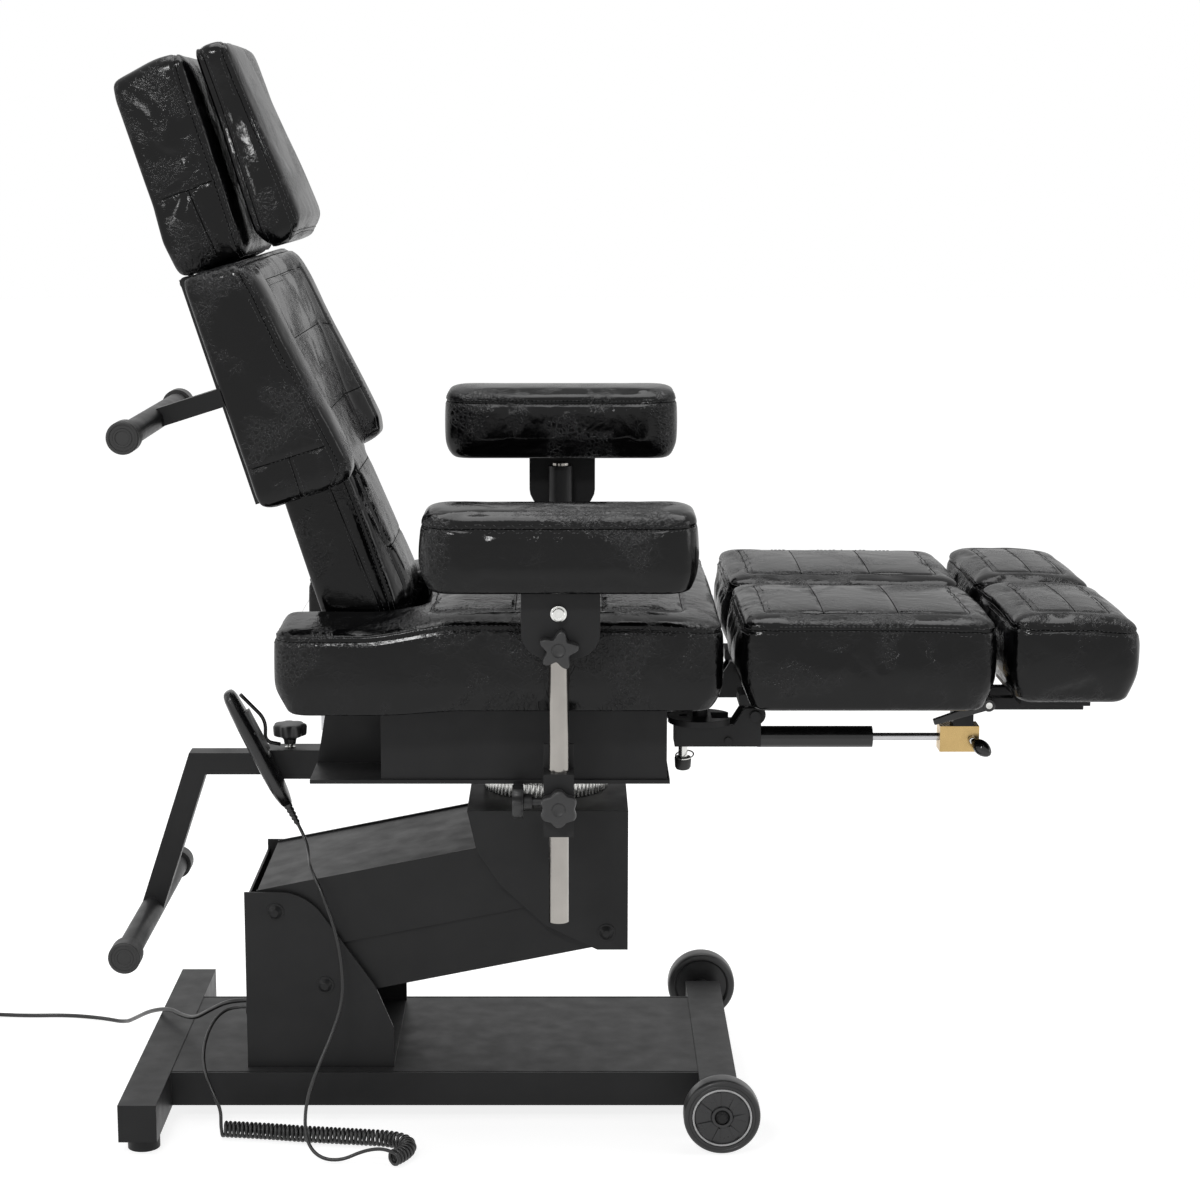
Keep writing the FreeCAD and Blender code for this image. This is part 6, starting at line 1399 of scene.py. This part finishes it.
for label, side in SIDES:
    low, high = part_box("index_plunger_" + label)
    centre = ((low.x + high.x) / 2, side * LEG_MIDDLE)
    plunger = turned("plunger_body_" + label, PLUNGER_RINGS, 60, star(6, 0.12))
    colour_faces(plunger, (RUBBER, SCREW), lambda centre: int(centre.z > 0.0182))
    bpy.ops.object.select_all(action="DESELECT")
    bpy.ops.mesh.primitive_torus_add(location=HOOP_PLACE, rotation=HOOP_TURN, major_radius=HOOP_RADIUS,
                                     minor_radius=HOOP_THICK, major_segments=48, minor_segments=10)
    hoop = bpy.context.object
    bpy.ops.object.transform_apply(location=True, rotation=True, scale=True)
    bpy.ops.object.shade_smooth()
    finish_piece(hoop, RUBBER, SCREW, index=1)
    plunger = join_up("plunger_body_" + label, [plunger, hoop])
    set_down(plunger, Matrix.Translation((*centre, high.z - 0.0690)), "plunger_" + label, "bright_rod",
             "index_plunger_" + label)

    low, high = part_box("release_lever_" + label)
    pin_x, pin_z = low.x + 0.005, (low.z + high.z) / 2
    oval = turned("release_knob_" + label, oval_rings(KNOB_LONG, KNOB_WIDE), 48)
    oval.data.transform(facing((pin_x + 0.002, side * 0.173, pin_z - 0.001), (0.55, side * 0.55, -0.42)))
    pin = turned("release_pin", [(0, 0.0), (0, 0.0044), (0.0455, 0.0044), (0.0465, 0.0036),
                                 (0.0465, 0.0)], 32)
    pin.data.transform(facing((pin_x, side * 0.128, pin_z), (0, side, 0)))
    finish_piece(oval, GLOSS, SCREW)
    finish_piece(pin, GLOSS, SCREW, index=1)
    release = join_up("release_knob_" + label, [oval, pin])
    set_down(release, FLAT, "release_" + label, "black_plastic", "release_lever_" + label)

    low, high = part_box("clamp_lever_" + label)
    deep = high.y - low.y
    hub_x, hub_z = high.x - 0.0083, high.z - 0.0083
    hub = turned("clamp_hub", [(0, 0.0), (0, 0.0082), (deep - 0.001, 0.0082), (deep, 0.0074),
                               (deep, 0.0046), (deep - 0.0010, 0.0044), (deep + 0.0005, 0.0042),
                               (deep + 0.0005, 0.0022, 0.9), (deep - 0.0004, 0.0, 1)], 60, star(6, 0.14))
    colour_faces(hub, (PLASTIC, SCREW), in_socket)
    handle = block("clamp_handle", (0.0, -HANDLE_HALF, deep * 0.35), (HANDLE_LONG, HANDLE_HALF, deep * 0.85),
                   HANDLE_ROUND, HANDLE_ROUND, 3)
    taper(handle, HANDLE_LONG, HANDLE_TAPER)
    finish_piece(handle, PLASTIC, SCREW)
    handle.data.transform(Matrix.Rotation(HANDLE_TURN, 4, "Z"))
    clamp = join_up("clamp_handle_" + label, [hub, handle])
    inner = low.y if side > 0 else high.y
    place = facing((hub_x, inner, hub_z), (0, side, 0))
    if side > 0:
        place = place @ Matrix.Scale(-1, 4, (1, 0, 0))
    clamp.data.transform(place)
    if side > 0:
        clamp.data.flip_normals()
    set_down(clamp, FLAT, "clamp_" + label, "black_plastic", "clamp_lever_" + label)
    print("fittings of the", label, "leg rest")

# %% [markdown]
# ## Floor and light
# The chair stands in a white studio. One soft panel above and weaker ones at the sides light it, and two
# small ones in front give the leather its highlights. Floor and room could be lit until they turn white,
# but that would flood the chair. So they are white to the camera and in reflections, and the room lights
# the chair more dimly, most of all from behind. The floor still takes the chair's shadow.


# %% Lamps
def panel(name, place, target, size, power):
    light = bpy.data.lights.new(name, "AREA")
    light.shape = "RECTANGLE"
    light.size, light.size_y = size
    light.energy = power
    lamp = bpy.data.objects.new(name, light)
    lamp.location = place
    lamp.rotation_euler = (Vector(target) - Vector(place)).to_track_quat("-Z", "Y").to_euler()
    scene.collection.objects.link(lamp)


PANELS = (("top_panel", (0.0, 0.2, 3.2), (0, 0, 0.6), (2.6, 1.8), 70),
          ("front_panel", (-0.9, -2.6, 2.5), (0, 0, 0.7), (0.6, 0.3), 22),
          ("low_panel", (-1.7, -2.7, 1.5), (-0.1, 0, 0.7), (0.2, 0.4), 4),
          ("right_panel", (3.0, -0.6, 1.5), (0.1, 0, 0.6), (0.9, 2.2), 16),
          ("left_panel", (-3.0, -0.4, 1.7), (-0.1, 0, 0.7), (0.9, 2.2), 14))
for settings in PANELS:
    panel(*settings)
print(len(PANELS), "lamps")


# %% Floor and wall
def light_path_mix(tree, first, second, target):
    """The camera, mirrors and glass see the second shader, and the first one lights the chair."""
    path = tree.nodes.new("ShaderNodeLightPath")
    seen = path.outputs["Is Camera Ray"]
    for ray in ("Is Glossy Ray", "Is Transmission Ray"):
        most = tree.nodes.new("ShaderNodeMath")
        most.operation = "MAXIMUM"
        tree.links.new(seen, most.inputs[0])
        tree.links.new(path.outputs[ray], most.inputs[1])
        seen = most.outputs["Value"]
    mix = tree.nodes.new("ShaderNodeMixShader")
    tree.links.new(seen, mix.inputs["Fac"])
    tree.links.new(first, mix.inputs[1])
    tree.links.new(second, mix.inputs[2])
    tree.links.new(mix.outputs["Shader"], target)


bpy.ops.object.select_all(action="DESELECT")
bpy.ops.mesh.primitive_plane_add(size=40, location=(0, 0, -0.0005))
floor = bpy.context.object
floor.name = "floor"
material = bpy.data.materials.new("studio_floor")
material.use_nodes = True
tree = material.node_tree
shader = tree.nodes["Principled BSDF"]
shader.inputs["Base Color"].default_value = (0.6, 0.6, 0.6, 1)
shader.inputs["Roughness"].default_value = 0.9
shader.inputs["Specular IOR Level"].default_value = 0.0
white = tree.nodes.new("ShaderNodeBsdfDiffuse")
white.inputs["Color"].default_value = (0.4, 0.4, 0.4, 1)
glow = tree.nodes.new("ShaderNodeEmission")
glow.inputs["Strength"].default_value = 0.84
both = tree.nodes.new("ShaderNodeAddShader")
tree.links.new(white.outputs["BSDF"], both.inputs[0])
tree.links.new(glow.outputs["Emission"], both.inputs[1])
light_path_mix(tree, shader.outputs["BSDF"], both.outputs["Shader"],
               tree.nodes["Material Output"].inputs["Surface"])
floor.data.materials.append(material)
floor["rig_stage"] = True

world = bpy.data.worlds.new("studio")
scene.world = world
world.use_nodes = True
tree = world.node_tree
white = tree.nodes["Background"]
white.inputs["Color"].default_value = (1, 1, 1, 1)
room = tree.nodes.new("ShaderNodeBackground")
room.inputs["Color"].default_value = (1, 1, 1, 1)
coords = tree.nodes.new("ShaderNodeTexCoord")
split = tree.nodes.new("ShaderNodeSeparateXYZ")
behind = tree.nodes.new("ShaderNodeMapRange")
behind.interpolation_type = "SMOOTHSTEP"
for socket, value in (("From Min", -0.35), ("From Max", 0.6), ("To Min", 0.10), ("To Max", 0.95)):
    behind.inputs[socket].default_value = value
tree.links.new(coords.outputs["Generated"], split.inputs["Vector"])
tree.links.new(split.outputs["Y"], behind.inputs["Value"])
tree.links.new(behind.outputs["Result"], room.inputs["Strength"])
light_path_mix(tree, room.outputs["Background"], white.outputs["Background"],
               tree.nodes["World Output"].inputs["Surface"])
scene.view_settings.view_transform = "Standard"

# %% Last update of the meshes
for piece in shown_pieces():
    piece.data.update_tag()
bpy.context.view_layer.update()
